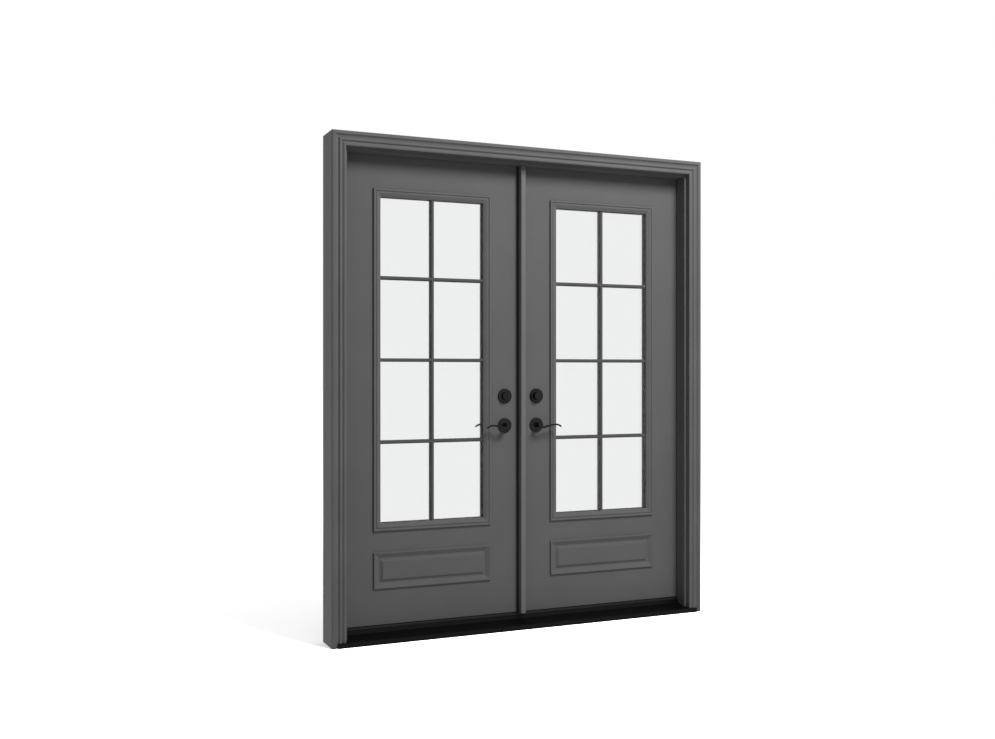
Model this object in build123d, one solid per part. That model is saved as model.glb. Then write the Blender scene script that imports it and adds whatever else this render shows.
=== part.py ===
"""Garden door: a pair of inward-opening glazed leaves in a moulded frame.

X runs to the right as seen from outside, Y into the building and Z up.  The
origin is the middle of the sill's underside.  The left leaf is the one that is
used first, and the right leaf carries the astragal.  Both leaves are built in
the left place, and the right one is mirrored.
"""
from build123d import *
import math
import os

# Leaves
leaf_width = 813.0
leaf_height = 1985.0
leaf_thickness = 44.5
skin_thickness = 2.0
hinge_stile_width = 35.0
lock_stile_width = 110.0
rail_height = 45.0

# Gaps round the leaves
hinge_gap = 3.0
head_gap = 3.0
threshold_gap = 4.0
meeting_clearance = 4.0
moving_clearance = 0.3
running_clearance = 0.05

# Frame
jamb_thickness = 61.5
stop_height = 8.5
frame_depth = 116.0
leaf_setback = 1.5
seal_gap = 4.0
seal_width = 7.0
kerf_width = 2.4
kerf_depth = 6.0
casing_width = 60.0
casing_thickness = 32.0
casing_foot = 25.0

# Sill
nose_height = 20.0
nose_reach = 4.0
nose_edge = 3.0
deck_front_rise = 5.0
deck_back_rise = 6.5
deck_back_run = 21.0
deck_thickness = 2.0
riser_run = 6.0
riser_lip = 8.0
riser_top = 45.0
threshold_top = 54.0
cap_depth = 48.0

# Glazing
lite_side_margin = 138.0
lite_top_margin = 146.0
lite_above_panel = 87.5
lite_border = 33.5
lite_lap = 14.5
lite_fit = 0.3
lite_lip_drop = 2.0
pane_edge_gap = 4.0
pane_thickness = 4.0
glass_unit_thickness = 25.0
spacer_width = 8.0
bar_width = 15.0
bar_height = 5.0
bar_flat = 9.0
bar_rows = 3

# Raised panel
panel_height = 156.5
panel_above_bottom = 150.0
panel_landing = 4.0
panel_border = 50.0
panel_bead = 8.5
panel_groove = 2.5
panel_rise = 3.5

# Astragal
astragal_stem = 11.0
astragal_width = 25.0
astragal_front = 33.0
astragal_seal_depth = 8.0
astragal_seal_lip = 3.2
astragal_seal_reach = 7.0
astragal_foot = 1.5
astragal_edge = 3.0

# Hinges
hinge_height = 100.0
hinge_plate_width = 44.0
hinge_plate_thickness = 2.8
hinge_knuckle_radius = 6.3
hinge_knuckle_gap = 0.4
hinge_knuckle_count = 5
hinge_pin_radius = 3.5
hinge_pin_head = 4.8
hinge_edge_gap = 0.2
upper_hinge_drop = 180.0
lower_hinge_rise = 250.0

# Locks and levers
backset = 70.0
lever_rise = 829.0
lock_spacing = 130.0
cross_bore_radius = 27.0
rose_radius = 32.5
rose_thickness = 9.0
boss_radius = 22.0
boss_depth = 9.0
neck_radius = 9.0
hub_radius = 11.0
lever_stand = 40.0
lever_thickness = 13.0
spindle_size = 8.0
case_radius = 12.5
face_plate_width = 25.0
face_plate_height = 57.0
face_plate_thickness = 2.2
bolt_depth = 14.0
bolt_height = 17.0
latch_throw = 12.0
deadbolt_throw = 25.0
cylinder_radius = 17.0
cylinder_reach = 24.0
plug_radius = 6.5
turn_stem_radius = 6.0
turn_width = 36.0
turn_thickness = 9.0
turn_reach = 26.0
tail_width = 6.0
tail_thickness = 2.4
strike_thickness = 1.5
strike_height = 60.0

# Shoot bolts in the astragal
shoot_radius = 3.5
shoot_length = 240.0
shoot_throw = 18.0
shoot_inset = 1.0
tab_length = 14.0
tab_depth = 6.0
keeper_length = 40.0
keeper_width = 20.0

# Screws
screw_head_radius = 4.2
screw_radius = 2.0
screw_length = 28.0
fixing_radius = 3.0
fixing_count = 4
fixing_spacing = 520.0
fixing_first = 190.0

# Worked out from the sizes above
meeting_gap = astragal_stem + meeting_clearance
half_width = jamb_thickness + hinge_gap + leaf_width + meeting_gap / 2
leaf_bottom = threshold_top + threshold_gap
leaf_top = leaf_bottom + leaf_height
overall_height = leaf_top + head_gap + jamb_thickness
front_y = -(casing_thickness + frame_depth) / 2
jamb_front_y = front_y + casing_thickness
back_y = jamb_front_y + frame_depth
leaf_inner_y = back_y - leaf_setback
leaf_outer_y = leaf_inner_y - leaf_thickness
leaf_mid_y = (leaf_inner_y + leaf_outer_y) / 2
rebate_y = leaf_outer_y - seal_gap
rebate_x = -half_width + jamb_thickness
stop_x = rebate_x + stop_height
head_rebate_z = leaf_top + head_gap
head_stop_z = head_rebate_z - stop_height
hinge_edge_x = rebate_x + hinge_gap
lock_edge_x = hinge_edge_x + leaf_width
leaf_middle_x = (hinge_edge_x + lock_edge_x) / 2
panel_middle_z = leaf_bottom + panel_above_bottom + panel_height / 2
lite_bottom_z = leaf_bottom + panel_above_bottom + panel_height + lite_above_panel
lite_top_z = leaf_top - lite_top_margin
lite_middle_z = (lite_bottom_z + lite_top_z) / 2
lite_height = lite_top_z - lite_bottom_z
lite_width = leaf_width - 2 * lite_side_margin
panel_width = lite_width
pin_x = rebate_x + hinge_gap / 2
pin_y = back_y + hinge_knuckle_radius + hinge_edge_gap
hinge_levels = [
    leaf_bottom + lower_hinge_rise,
    (leaf_bottom + lower_hinge_rise + leaf_top - upper_hinge_drop) / 2,
    leaf_top - upper_hinge_drop,
]
lock_x = lock_edge_x - backset
lever_z = leaf_bottom + lever_rise
deadbolt_z = lever_z + lock_spacing
glass_recess = (leaf_thickness - glass_unit_thickness) / 2
cutout_width = lite_width - 2 * lite_lap
cutout_height = lite_height - 2 * lite_lap
glass_width = cutout_width - 2 * pane_edge_gap
glass_height = cutout_height - 2 * pane_edge_gap
opening_width = lite_width - 2 * lite_border
opening_height = lite_height - 2 * lite_border
stem_left = meeting_gap / 2 - astragal_stem
stem_right = meeting_gap / 2

OUTSIDE = Vector(0, -1, 0)
INSIDE = Vector(0, 1, 0)
LEFT = Vector(-1, 0, 0)
RIGHT = Vector(1, 0, 0)


def block(x0, x1, y0, y1, z0, z1):
    """Box between two corners."""
    middle = Pos((x0 + x1) / 2, (y0 + y1) / 2, (z0 + z1) / 2)
    return middle * Box(abs(x1 - x0), abs(y1 - y0), abs(z1 - z0))


def turned(x, face_y, z, out, *steps):
    """Round piece on a face of the leaf: steps are radius, end radius, start and end distance."""
    seat = Plane((x, face_y, z), z_dir=out)
    shape = None
    for radius, end_radius, start, end in steps:
        length = end - start
        if radius == end_radius:
            step = Cylinder(radius, length)
        else:
            step = Cone(radius, end_radius, length)
        step = seat * (Pos(0, 0, (start + end) / 2) * step)
        shape = step if shape is None else shape + step
    return shape


def tube_x(x0, x1, y, z, radius):
    """Cylinder along X."""
    return Plane((min(x0, x1), y, z), z_dir=RIGHT) * (Pos(0, 0, abs(x1 - x0) / 2) * Cylinder(radius, abs(x1 - x0)))


def tube_z(x, y, z0, z1, radius):
    """Cylinder along Z."""
    return Pos(x, y, (z0 + z1) / 2) * Cylinder(radius, abs(z1 - z0))


def outline(start, *steps):
    """Closed face. Each step is an end point, or a middle and an end point for an arc."""
    here = start
    edges = []
    for step in steps:
        if isinstance(step[0], tuple):
            middle, end = step
            edges.append(ThreePointArc(here, middle, end))
        else:
            end = step
            edges.append(Line(here, end))
        here = end
    edges.append(Line(here, start))
    return make_face(edges)


def prism_x(points, x0, x1):
    """Closed outline of Y and Z points, run along X from x0 to x1."""
    face = Plane((x0, 0, 0), x_dir=(0, 1, 0), z_dir=RIGHT) * outline(*points)
    return extrude(face, x1 - x0)


def offset_path(points, distance):
    """Path moved to its right by a distance, with its corners kept sharp."""
    normals = []
    for (ax, ay), (bx, by) in zip(points, points[1:]):
        length = math.hypot(bx - ax, by - ay)
        normals.append(((by - ay) / length, (ax - bx) / length))
    moved = []
    for index, (x, y) in enumerate(points):
        first = normals[max(index - 1, 0)]
        second = normals[min(index, len(normals) - 1)]
        share = distance / (1 + first[0] * second[0] + first[1] * second[1])
        moved.append((x + share * (first[0] + second[0]), y + share * (first[1] + second[1])))
    return moved


def mitred_frame(section, border, centre, width, height, out):
    """Rectangular frame with mitred corners. The section's x runs inwards and its y outwards."""
    frame = None
    sides = (
        (Vector(0, 0, -1), width, height / 2),
        (Vector(0, 0, 1), width, height / 2),
        (Vector(1, 0, 0), height, width / 2),
        (Vector(-1, 0, 0), height, width / 2),
    )
    for inward, length, half in sides:
        along = inward.cross(out)
        edge_middle = centre - inward * half
        start = edge_middle - along * (length / 2)
        bar = extrude(Plane(start, x_dir=inward, z_dir=along) * section, length)
        wedge_face = outline(
            (-length / 2, 0), (length / 2, 0), (length / 2 - border, border), (border - length / 2, border)
        )
        wedge = extrude(Plane(edge_middle, x_dir=along, z_dir=out) * wedge_face, leaf_thickness, both=True)
        side = bar & wedge
        frame = side if frame is None else frame + side
    return frame


def screw(head, into, length=screw_length, head_radius=screw_head_radius, radius=screw_radius):
    """Countersunk screw with its head's face at a point."""
    head_depth = head_radius - radius
    shape = Pos(0, 0, head_depth / 2) * Cone(head_radius, radius, head_depth)
    shape += Pos(0, 0, length / 2) * Cylinder(radius, length)
    return Plane(head, z_dir=into) * shape


def cut(shape, tools):
    """Shape with every tool taken away."""
    for tool in tools:
        shape = shape - tool
    return shape


def to_right(shape):
    """Mirror image in the other half of the door."""
    return mirror(shape, about=Plane.YZ)


def save(name, *shapes):
    """Write one node's solids to its file."""
    solids = [solid for shape in shapes for solid in shape.solids()]
    export_step(Compound(children=solids), os.path.join("parts", name + ".step"))


# Sill

def sill_path():
    """Upper outline of the sill from its front foot to its back, as Y and Z points."""
    nose_y = front_y - nose_reach
    riser_y = rebate_y - riser_lip - riser_run
    return [
        (nose_y, 0),
        (nose_y, nose_height - nose_edge),
        (nose_y + nose_edge, nose_height),
        (riser_y - deck_back_run, nose_height + deck_front_rise),
        (riser_y, nose_height + deck_front_rise + deck_back_rise),
        (riser_y + riser_run, riser_top),
        (back_y, riser_top),
    ]


def sill_width():
    """Distance from the sill's middle to its ends, which stop at the feet of the frame."""
    return half_width - casing_foot


def sill_space():
    """The whole of the sill below its upper outline."""
    path = sill_path()
    return prism_x(path + [(back_y, 0)], -sill_width(), sill_width())


def sill_base():
    """Solid bed under the metal deck."""
    inner = offset_path(sill_path(), deck_thickness)
    inner[0] = (inner[0][0], 0)
    inner[-1] = (back_y, riser_top - deck_thickness)
    return prism_x(inner + [(back_y, 0)], -sill_width(), sill_width())


def threshold_cap():
    """Bar that the leaves close over, between the rebates of the two jambs."""
    cap_front = back_y - leaf_setback - cap_depth
    cap_back = back_y - leaf_setback
    edge = (threshold_top - riser_top) / 3
    points = [
        (cap_front, riser_top),
        (cap_front, threshold_top - edge),
        (cap_front + edge, threshold_top),
        (cap_back - edge, threshold_top),
        (cap_back, threshold_top - edge),
        (cap_back, riser_top),
    ]
    return prism_x(points, rebate_x, -rebate_x)


# Frame

def left_jamb():
    """Rebated post, coped over the sill, with its foot on the floor beside it."""
    post = block(-half_width, stop_x, jamb_front_y, back_y, 0, overall_height)
    post -= block(rebate_x, stop_x + 1, rebate_y, back_y + 1, -1, overall_height + 1)
    kerf_x = stop_x - seal_width / 2
    post -= block(kerf_x - kerf_width / 2, kerf_x + kerf_width / 2, rebate_y - kerf_depth, rebate_y,
                  riser_top, head_stop_z)
    return post


def head_jamb(posts):
    """Rebated head between the posts."""
    head = block(rebate_x, -rebate_x, jamb_front_y, back_y, head_stop_z, overall_height)
    head -= block(rebate_x - 1, 1 - rebate_x, rebate_y, back_y + 1, head_stop_z - 1, head_rebate_z)
    kerf_z = head_stop_z + seal_width / 2
    head -= block(stop_x, -stop_x, rebate_y - kerf_depth, rebate_y, kerf_z - kerf_width / 2, kerf_z + kerf_width / 2)
    return cut(head, posts)


def frame_seals():
    """Foam strips on the faces of the stops, with tongues in the kerfs."""
    strip_back = leaf_outer_y - moving_clearance
    kerf_x = stop_x - seal_width / 2
    post_strip = block(stop_x - seal_width, stop_x, rebate_y, strip_back, threshold_top, head_stop_z)
    post_strip += block(kerf_x - kerf_width / 2, kerf_x + kerf_width / 2, rebate_y - kerf_depth, rebate_y,
                        threshold_top, head_stop_z)
    kerf_z = head_stop_z + seal_width / 2
    head_strip = block(stop_x - seal_width, seal_width - stop_x, rebate_y, strip_back,
                       head_stop_z, head_stop_z + seal_width)
    head_strip += block(stop_x, -stop_x, rebate_y - kerf_depth, rebate_y,
                        kerf_z - kerf_width / 2, kerf_z + kerf_width / 2)
    return [post_strip, head_strip, to_right(post_strip)]


def casing_section():
    """Moulded section: x runs inwards from the outer edge and y forwards from the jamb."""
    w = casing_width
    t = casing_thickness
    return outline(
        (0, 0),
        (0, t - 2),
        ((0.6, t - 0.6), (2, t)),
        (w * 0.2, t),
        ((w * 0.29, t - 4.2), (w * 0.4, t - 6)),
        (w * 0.44, t - 6),
        ((w * 0.53, t - 1.5), (w * 0.62, t - 6)),
        (w * 0.65, t - 11),
        (w * 0.71, t - 11),
        (w * 0.75, t - 5),
        ((w * 0.87, t - 2.5), (w - 1.5, t - 5)),
        (w, t - 6.5),
        (w, 0),
    )


def casings():
    """Left, right and head casing, mitred at the top corners and cut over the sill's nose."""
    section = casing_section()
    reach = 2 * casing_width
    corner_y = jamb_front_y

    up = Plane((-half_width, corner_y, 0), x_dir=RIGHT, z_dir=RIGHT.cross(OUTSIDE))
    # The section's y has to point outwards, so this plane's normal runs downwards.
    left = extrude(up * section, -overall_height)
    left_keep = extrude(Plane.XZ * outline(
        (-half_width - 1, -1), (-half_width + reach, -1), (-half_width + reach, overall_height - reach),
        (-half_width, overall_height), (-half_width - 1, overall_height)), reach * 2, both=True)
    left = (left & left_keep) - sill_space()

    down = Vector(0, 0, -1)
    along = down.cross(OUTSIDE)
    start = Vector(0, corner_y, overall_height) - along * half_width
    head = extrude(Plane(start, x_dir=down, z_dir=along) * section, 2 * half_width)
    head_keep = extrude(Plane.XZ * outline(
        (-half_width, overall_height), (half_width, overall_height),
        (half_width - reach, overall_height - reach), (reach - half_width, overall_height - reach)),
        reach * 2, both=True)
    head = head & head_keep
    return left, to_right(left), head


# Hinges

def knuckle_spans(level, kind):
    """Heights of a plate's knuckles: kind 0 is the frame's plate and 1 the leaf's."""
    pitch = hinge_height / hinge_knuckle_count
    bottom = level - hinge_height / 2
    spans = []
    for index in range(kind, hinge_knuckle_count, 2):
        low = bottom + index * pitch
        spans.append((low + hinge_knuckle_gap / 2, low + pitch - hinge_knuckle_gap / 2))
    return spans


def hinge_plate(level, kind):
    """Plate with its knuckles, in the left jamb for kind 0 or in the leaf's edge for kind 1."""
    side = 1 if kind else -1
    near = pin_x + side * hinge_gap / 2
    far = near + side * hinge_plate_thickness
    shoulder = pin_y - hinge_knuckle_radius - 2 * hinge_edge_gap
    plate = block(near, far, pin_y - hinge_plate_width, shoulder, level - hinge_height / 2, level + hinge_height / 2)
    for low, high in knuckle_spans(level, kind):
        plate += block(near, far, shoulder, pin_y, low, high)
        plate += tube_z(pin_x, pin_y, low, high, hinge_knuckle_radius)
    bore = tube_z(pin_x, pin_y, level - hinge_height, level + hinge_height, hinge_pin_radius + running_clearance)
    return plate - bore


def hinge_pin(level):
    """Pin through the knuckles, with a button at each end."""
    low = level - hinge_height / 2
    high = level + hinge_height / 2
    pin = tube_z(pin_x, pin_y, low, high, hinge_pin_radius)
    pin += tube_z(pin_x, pin_y, high, high + hinge_pin_head / 2, hinge_pin_head)
    pin += tube_z(pin_x, pin_y, low - hinge_pin_head / 2, low, hinge_pin_head)
    return pin


def hinge_mortise(level, kind):
    """Space that a plate fills in the jamb or in the leaf's edge."""
    side = 1 if kind else -1
    near = pin_x + side * hinge_gap / 2
    far = near + side * hinge_plate_thickness
    return block(near, far, pin_y - hinge_plate_width, back_y + 1, level - hinge_height / 2, level + hinge_height / 2)


def hinge_screws(level, kind):
    """Four screws of one plate."""
    side = 1 if kind else -1
    into = RIGHT if kind else LEFT
    face_x = pin_x + side * hinge_gap / 2
    rows = (0.2, 0.4)
    screws = []
    for row, share in enumerate(rows):
        for sign in (-1, 1):
            z = level + sign * hinge_height * share
            y = pin_y - hinge_plate_width * (0.78 if row else 0.38)
            screws.append(screw((face_x, y, z), into))
    return screws


# Leaf

def leaf_cutout(width, height, thickness=leaf_thickness * 2):
    """Block centred on the glazing, through the leaf."""
    middle = Pos(leaf_middle_x, leaf_mid_y, lite_middle_z)
    return middle * Box(width, thickness, height)


def panel_path():
    """Outline of the raised panel's moulding: distance inwards and height above the skin."""
    start = panel_landing
    return [
        (0, 0),
        (start, 0),
        (start + 1.5, panel_bead - 1.5),
        (start + 4.5, panel_bead),
        (start + 8.0, panel_bead - 1.0),
        (start + 26.0, -panel_groove),
        (start + 32.0, -panel_groove),
        (start + 45.0, panel_rise),
        (start + panel_border, panel_rise),
    ]


def panel_ring(face_y, out, upper, lower):
    """Mitred ring of the raised panel between two outlines of its section."""
    width = panel_width + 2 * panel_landing
    height = panel_height + 2 * panel_landing
    centre = Vector(leaf_middle_x, face_y, panel_middle_z)
    section = outline(*(upper + lower[::-1]))
    return mitred_frame(section, panel_landing + panel_border, centre, width, height, out)


def panel_hollow(face_y, out):
    """Space that the raised panel's ring takes from the core."""
    under = offset_path(panel_path(), skin_thickness)
    return panel_ring(face_y, out, [(x, 2 * panel_bead) for x, y in under], under)


def skin(face_y, out, holes):
    """Pressed facing of the leaf, with the raised panel formed in it."""
    back = face_y - out.Y * skin_thickness
    sheet = block(hinge_edge_x, lock_edge_x, face_y, back, leaf_bottom, leaf_top)
    sheet -= leaf_cutout(cutout_width, cutout_height)
    width = panel_width + 2 * panel_landing
    height = panel_height + 2 * panel_landing
    border = panel_landing + panel_border
    sheet -= Pos(leaf_middle_x, face_y, panel_middle_z) * Box(width, leaf_thickness, height)
    sheet += panel_ring(face_y, out, panel_path(), offset_path(panel_path(), skin_thickness))
    field_y = face_y + out.Y * (panel_rise - skin_thickness / 2)
    sheet += Pos(leaf_middle_x, field_y, panel_middle_z) * Box(
        width - 2 * border, skin_thickness, height - 2 * border)
    return cut(sheet, holes)


def lite_section():
    """Moulded glazing frame: x runs inwards from its outer edge and y outwards from the skin."""
    lip = -lite_lip_drop
    seat = -glass_recess
    leg = lite_lap + lite_fit
    return outline(
        (0, 0),
        (0, 4.5),
        ((1.3, 7.7), (4.5, 9.0)),
        ((7.6, 8.2), (9.0, 5.5)),
        (12.5, 4.5),
        (15.0, 6.8),
        (18.0, 6.8),
        (lite_border, lip),
        (lite_border, seat),
        (leg, seat),
        (leg, 0),
    )


def lite_frame(face_y, out):
    """Moulded frame that holds the glass from one side."""
    centre = Vector(leaf_middle_x, face_y, lite_middle_z)
    return mitred_frame(lite_section(), lite_border, centre, lite_width, lite_height, out)


def lite_screws():
    """Screws that pull the inner glazing frame to the outer one, beside the glass."""
    inset = lite_lap + pane_edge_gap / 2
    head_y = leaf_inner_y + 6.8
    length = leaf_thickness + 6.8 - glass_recess + 6.0
    screws = []
    for sign in (-1, 1):
        for share in (-0.4, -0.13, 0.13, 0.4):
            x = leaf_middle_x + sign * (lite_width / 2 - inset)
            screws.append(screw((x, head_y, lite_middle_z + share * lite_height), OUTSIDE, length, 2.4, 1.3))
    return screws


def panes():
    """Outer and inner glass, with the spacer between them."""
    outer_y = leaf_outer_y + glass_recess
    inner_y = leaf_inner_y - glass_recess
    half_w = glass_width / 2
    half_h = glass_height / 2
    x0 = leaf_middle_x - half_w
    x1 = leaf_middle_x + half_w
    z0 = lite_middle_z - half_h
    z1 = lite_middle_z + half_h
    outer = block(x0, x1, outer_y, outer_y + pane_thickness, z0, z1)
    inner = block(x0, x1, inner_y - pane_thickness, inner_y, z0, z1)
    spacer = block(x0, x1, outer_y + pane_thickness, inner_y - pane_thickness, z0, z1)
    spacer -= leaf_cutout(glass_width - 2 * spacer_width, glass_height - 2 * spacer_width)
    return outer, inner, spacer


def grille(face_y, out):
    """Glazing bars on one face of the glass: one upright and a pair of short bars in each row."""
    half = bar_width / 2
    flat = bar_flat / 2
    edge = bar_height * 0.4
    section = outline((-half, 0), (-half, edge), (-flat, bar_height), (flat, bar_height), (half, edge), (half, 0))
    up = Vector(0, 0, 1)
    side_x = up.cross(out) * -1
    foot = Vector(leaf_middle_x, face_y, lite_middle_z - opening_height / 2)
    bars = [extrude(Plane(foot, x_dir=side_x, z_dir=side_x.cross(out)) * section,
                    opening_height * side_x.cross(out).Z)]
    length = opening_width / 2 - half
    pitch = (opening_height + bar_width) / (bar_rows + 1)
    for row in range(bar_rows):
        z = lite_middle_z + pitch * (row - (bar_rows - 1) / 2)
        for start_x in (leaf_middle_x - opening_width / 2, leaf_middle_x + half):
            start = Vector(start_x, face_y, z)
            along = Vector(0, 0, 1).cross(out)
            bars.append(extrude(Plane(start, x_dir=(0, 0, 1), z_dir=along) * section, length * along.X))
    return bars


def sweep():
    """Strip with two fins under the leaf, just clear of the threshold cap."""
    fin = 1.2
    plate = 1.8
    edge = 3.0
    y0 = leaf_outer_y + skin_thickness
    y1 = leaf_inner_y - skin_thickness
    shape = block(hinge_edge_x + edge, lock_edge_x - edge, y0, y1, leaf_bottom - plate, leaf_bottom)
    for y in (y0 + edge, y1 - edge - fin):
        shape += block(hinge_edge_x + edge, lock_edge_x - edge, y, y + fin,
                       threshold_top + moving_clearance, leaf_bottom - plate)
    return shape


def leaf_pieces(stile_holes, skin_holes):
    """Every piece that both leaves have, in the left place, by name."""
    inner_y0 = leaf_outer_y + skin_thickness
    inner_y1 = leaf_inner_y - skin_thickness
    core_x0 = hinge_edge_x + hinge_stile_width
    core_x1 = lock_edge_x - lock_stile_width
    core_z0 = leaf_bottom + rail_height
    core_z1 = leaf_top - rail_height
    mortises = [hinge_mortise(level, 1) for level in hinge_levels]
    edge_screws = [item for level in hinge_levels for item in hinge_screws(level, 1)]
    pane_screws = lite_screws()
    outer, inner, spacer = panes()
    hinge_stile = block(hinge_edge_x, core_x0, inner_y0, inner_y1, leaf_bottom, leaf_top)
    lock_stile = block(core_x1, lock_edge_x, inner_y0, inner_y1, leaf_bottom, leaf_top)
    rails = [
        block(core_x0, core_x1, inner_y0, inner_y1, leaf_bottom, core_z0),
        block(core_x0, core_x1, inner_y0, inner_y1, core_z1, leaf_top),
    ]
    outer_skin = skin(leaf_outer_y, OUTSIDE, skin_holes)
    inner_skin = skin(leaf_inner_y, INSIDE, skin_holes + mortises)
    core = block(core_x0, core_x1, inner_y0, inner_y1, core_z0, core_z1)
    core = core - leaf_cutout(cutout_width, cutout_height)
    core = core - panel_hollow(leaf_outer_y, OUTSIDE) - panel_hollow(leaf_inner_y, INSIDE)
    plates = [cut(hinge_plate(level, 1), edge_screws) for level in hinge_levels]
    return {
        "outer_skin": [outer_skin],
        "inner_skin": [inner_skin],
        "hinge_stile": [cut(hinge_stile, mortises + edge_screws)],
        "lock_stile": [cut(lock_stile, stile_holes)],
        "rails": rails,
        "core": [core],
        "outer_lite_frame": [cut(lite_frame(leaf_outer_y, OUTSIDE), pane_screws)],
        "inner_lite_frame": [cut(lite_frame(leaf_inner_y, INSIDE), pane_screws)],
        "panes": [outer, inner],
        "spacer": [spacer],
        "grilles": grille(leaf_outer_y + glass_recess, OUTSIDE) + grille(leaf_inner_y - glass_recess, INSIDE),
        "sweep": [sweep()],
        "hinge_plates": plates,
        "screws": edge_screws + pane_screws,
    }


# Locks

def through_bolts(z):
    """Two machine screws that clamp a pair of plates to the leaf."""
    length = leaf_thickness + rose_thickness + rose_thickness / 2
    offset = (boss_radius + case_radius) / 2
    head_y = leaf_inner_y + rose_thickness
    return [screw((lock_x, head_y, z + sign * offset), OUTSIDE, length, 3.4, 1.8) for sign in (-1, 1)]


def rose(face_y, out, z, hole_radius):
    """Round plate with a boss that centres it in the leaf's cross bore."""
    plate = turned(
        lock_x, face_y, z, out,
        (boss_radius, boss_radius, -boss_depth, 0),
        (rose_radius, rose_radius, 0, rose_thickness * 0.5),
        (rose_radius, rose_radius - 4, rose_thickness * 0.5, rose_thickness),
    )
    return plate - turned(lock_x, face_y, z, out, (hole_radius, hole_radius, -boss_depth * 2, rose_thickness * 2))


def cylinder_housing(hole_radius):
    """Outer deadbolt plate with the raised guard of the key cylinder."""
    housing = turned(
        lock_x, leaf_outer_y, deadbolt_z, OUTSIDE,
        (boss_radius, boss_radius, -boss_depth, 0),
        (rose_radius, rose_radius, 0, rose_thickness * 0.5),
        (rose_radius, rose_radius - 4, rose_thickness * 0.5, rose_thickness),
        (cylinder_radius + 2, cylinder_radius, rose_thickness, cylinder_reach),
    )
    if hole_radius:
        housing -= turned(lock_x, leaf_outer_y, deadbolt_z, OUTSIDE,
                          (hole_radius, hole_radius, -boss_depth * 2, cylinder_reach * 2))
    return housing


def key_plug():
    """Turning core of the key cylinder, with its keyway."""
    plug = turned(lock_x, leaf_outer_y, deadbolt_z, OUTSIDE,
                  (plug_radius, plug_radius, 2 - boss_depth, cylinder_reach + 0.5))
    front = leaf_outer_y - cylinder_reach - 0.5
    return plug - block(lock_x - 1, lock_x + 1, front - 1, front + 6, deadbolt_z - 4.5, deadbolt_z + 4.5)


def turn_piece():
    """Wing of the inside turn, upright, with its stem."""
    wing_start = rose_thickness + 3 * moving_clearance
    stem = turned(lock_x, leaf_inner_y, deadbolt_z, INSIDE,
                  (turn_stem_radius, turn_stem_radius, -boss_depth, wing_start))
    wing = block(lock_x - turn_thickness / 2, lock_x + turn_thickness / 2,
                 leaf_inner_y + wing_start, leaf_inner_y + turn_reach,
                 deadbolt_z - turn_width / 2, deadbolt_z + turn_width / 2)
    wing = fillet(wing.edges().filter_by(Axis.Y), turn_thickness * 0.45)
    return stem + wing


def thumbturn():
    """Inside turn with the flat bar that works the deadbolt."""
    tail_start = leaf_mid_y - case_radius - 1.5
    tail_end = leaf_inner_y - boss_depth
    tail = block(lock_x - tail_thickness / 2, lock_x + tail_thickness / 2, tail_start, tail_end,
                 deadbolt_z - tail_width / 2, deadbolt_z + tail_width / 2)
    return turn_piece() + tail


def lock_case(z, length, drive_radius, screws):
    """Tube in the leaf's edge with its face plate, hollow for the bolt that slides in it."""
    case = tube_x(lock_edge_x - length, lock_edge_x, leaf_mid_y, z, case_radius)
    case += face_plate_space(z)
    hollow_y = bolt_depth / 2 + moving_clearance
    hollow_z = bolt_height / 2 + moving_clearance
    case -= block(lock_edge_x - length + 1.5, lock_edge_x + 1, leaf_mid_y - hollow_y, leaf_mid_y + hollow_y,
                  z - hollow_z, z + hollow_z)
    case -= turned(lock_x, leaf_mid_y, z, INSIDE, (drive_radius, drive_radius, -leaf_thickness, leaf_thickness))
    return cut(case, screws)


def face_plate_space(z):
    """Face plate let into the leaf's edge."""
    return block(lock_edge_x - face_plate_thickness, lock_edge_x,
                 leaf_mid_y - face_plate_width / 2, leaf_mid_y + face_plate_width / 2,
                 z - face_plate_height / 2, z + face_plate_height / 2)


def face_plate_screws(z):
    """Two screws of a face plate."""
    offset = face_plate_height / 2 - screw_head_radius - 1.5
    return [screw((lock_edge_x, leaf_mid_y, z + sign * offset), LEFT) for sign in (-1, 1)]


def sliding_bolt(z, tip, tail_end, slot_start, slot_end, slot_height):
    """Bolt bar along X with a slot in its tail, all distances from the leaf's edge."""
    half_y = bolt_depth / 2
    half_z = bolt_height / 2
    bar = block(lock_edge_x + tail_end, lock_edge_x + tip, leaf_mid_y - half_y, leaf_mid_y + half_y,
                z - half_z, z + half_z)
    return bar - block(lock_edge_x + slot_start, lock_edge_x + slot_end, leaf_mid_y - bolt_depth,
                       leaf_mid_y + bolt_depth, z - slot_height / 2, z + slot_height / 2)


def latch():
    """Spring latch, drawn back by the spindle, with its slope towards the outside."""
    turn_space = spindle_size * math.sqrt(2) / 2 + moving_clearance
    slot_start = -backset - turn_space
    slot_end = -backset + latch_throw + turn_space
    bar = sliding_bolt(lever_z, latch_throw, slot_start - 3, slot_start, slot_end, 2 * turn_space)
    tip = lock_edge_x + latch_throw
    wedge = Plane.XY * outline(
        (tip, leaf_mid_y - bolt_depth / 2), (tip, leaf_mid_y + bolt_depth * 0.3),
        (tip - latch_throw * 0.9, leaf_mid_y - bolt_depth / 2))
    return bar - Pos(0, 0, lever_z) * extrude(wedge, bolt_height, both=True)


def deadbolt():
    """Square bolt, drawn back into the leaf at rest."""
    turn_space = math.hypot(tail_width, tail_thickness) / 2 + moving_clearance
    slot_start = -backset - deadbolt_throw - turn_space
    slot_end = -backset + turn_space
    return sliding_bolt(deadbolt_z, -moving_clearance, slot_start - 3, slot_start, slot_end, 2 * turn_space)


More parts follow.
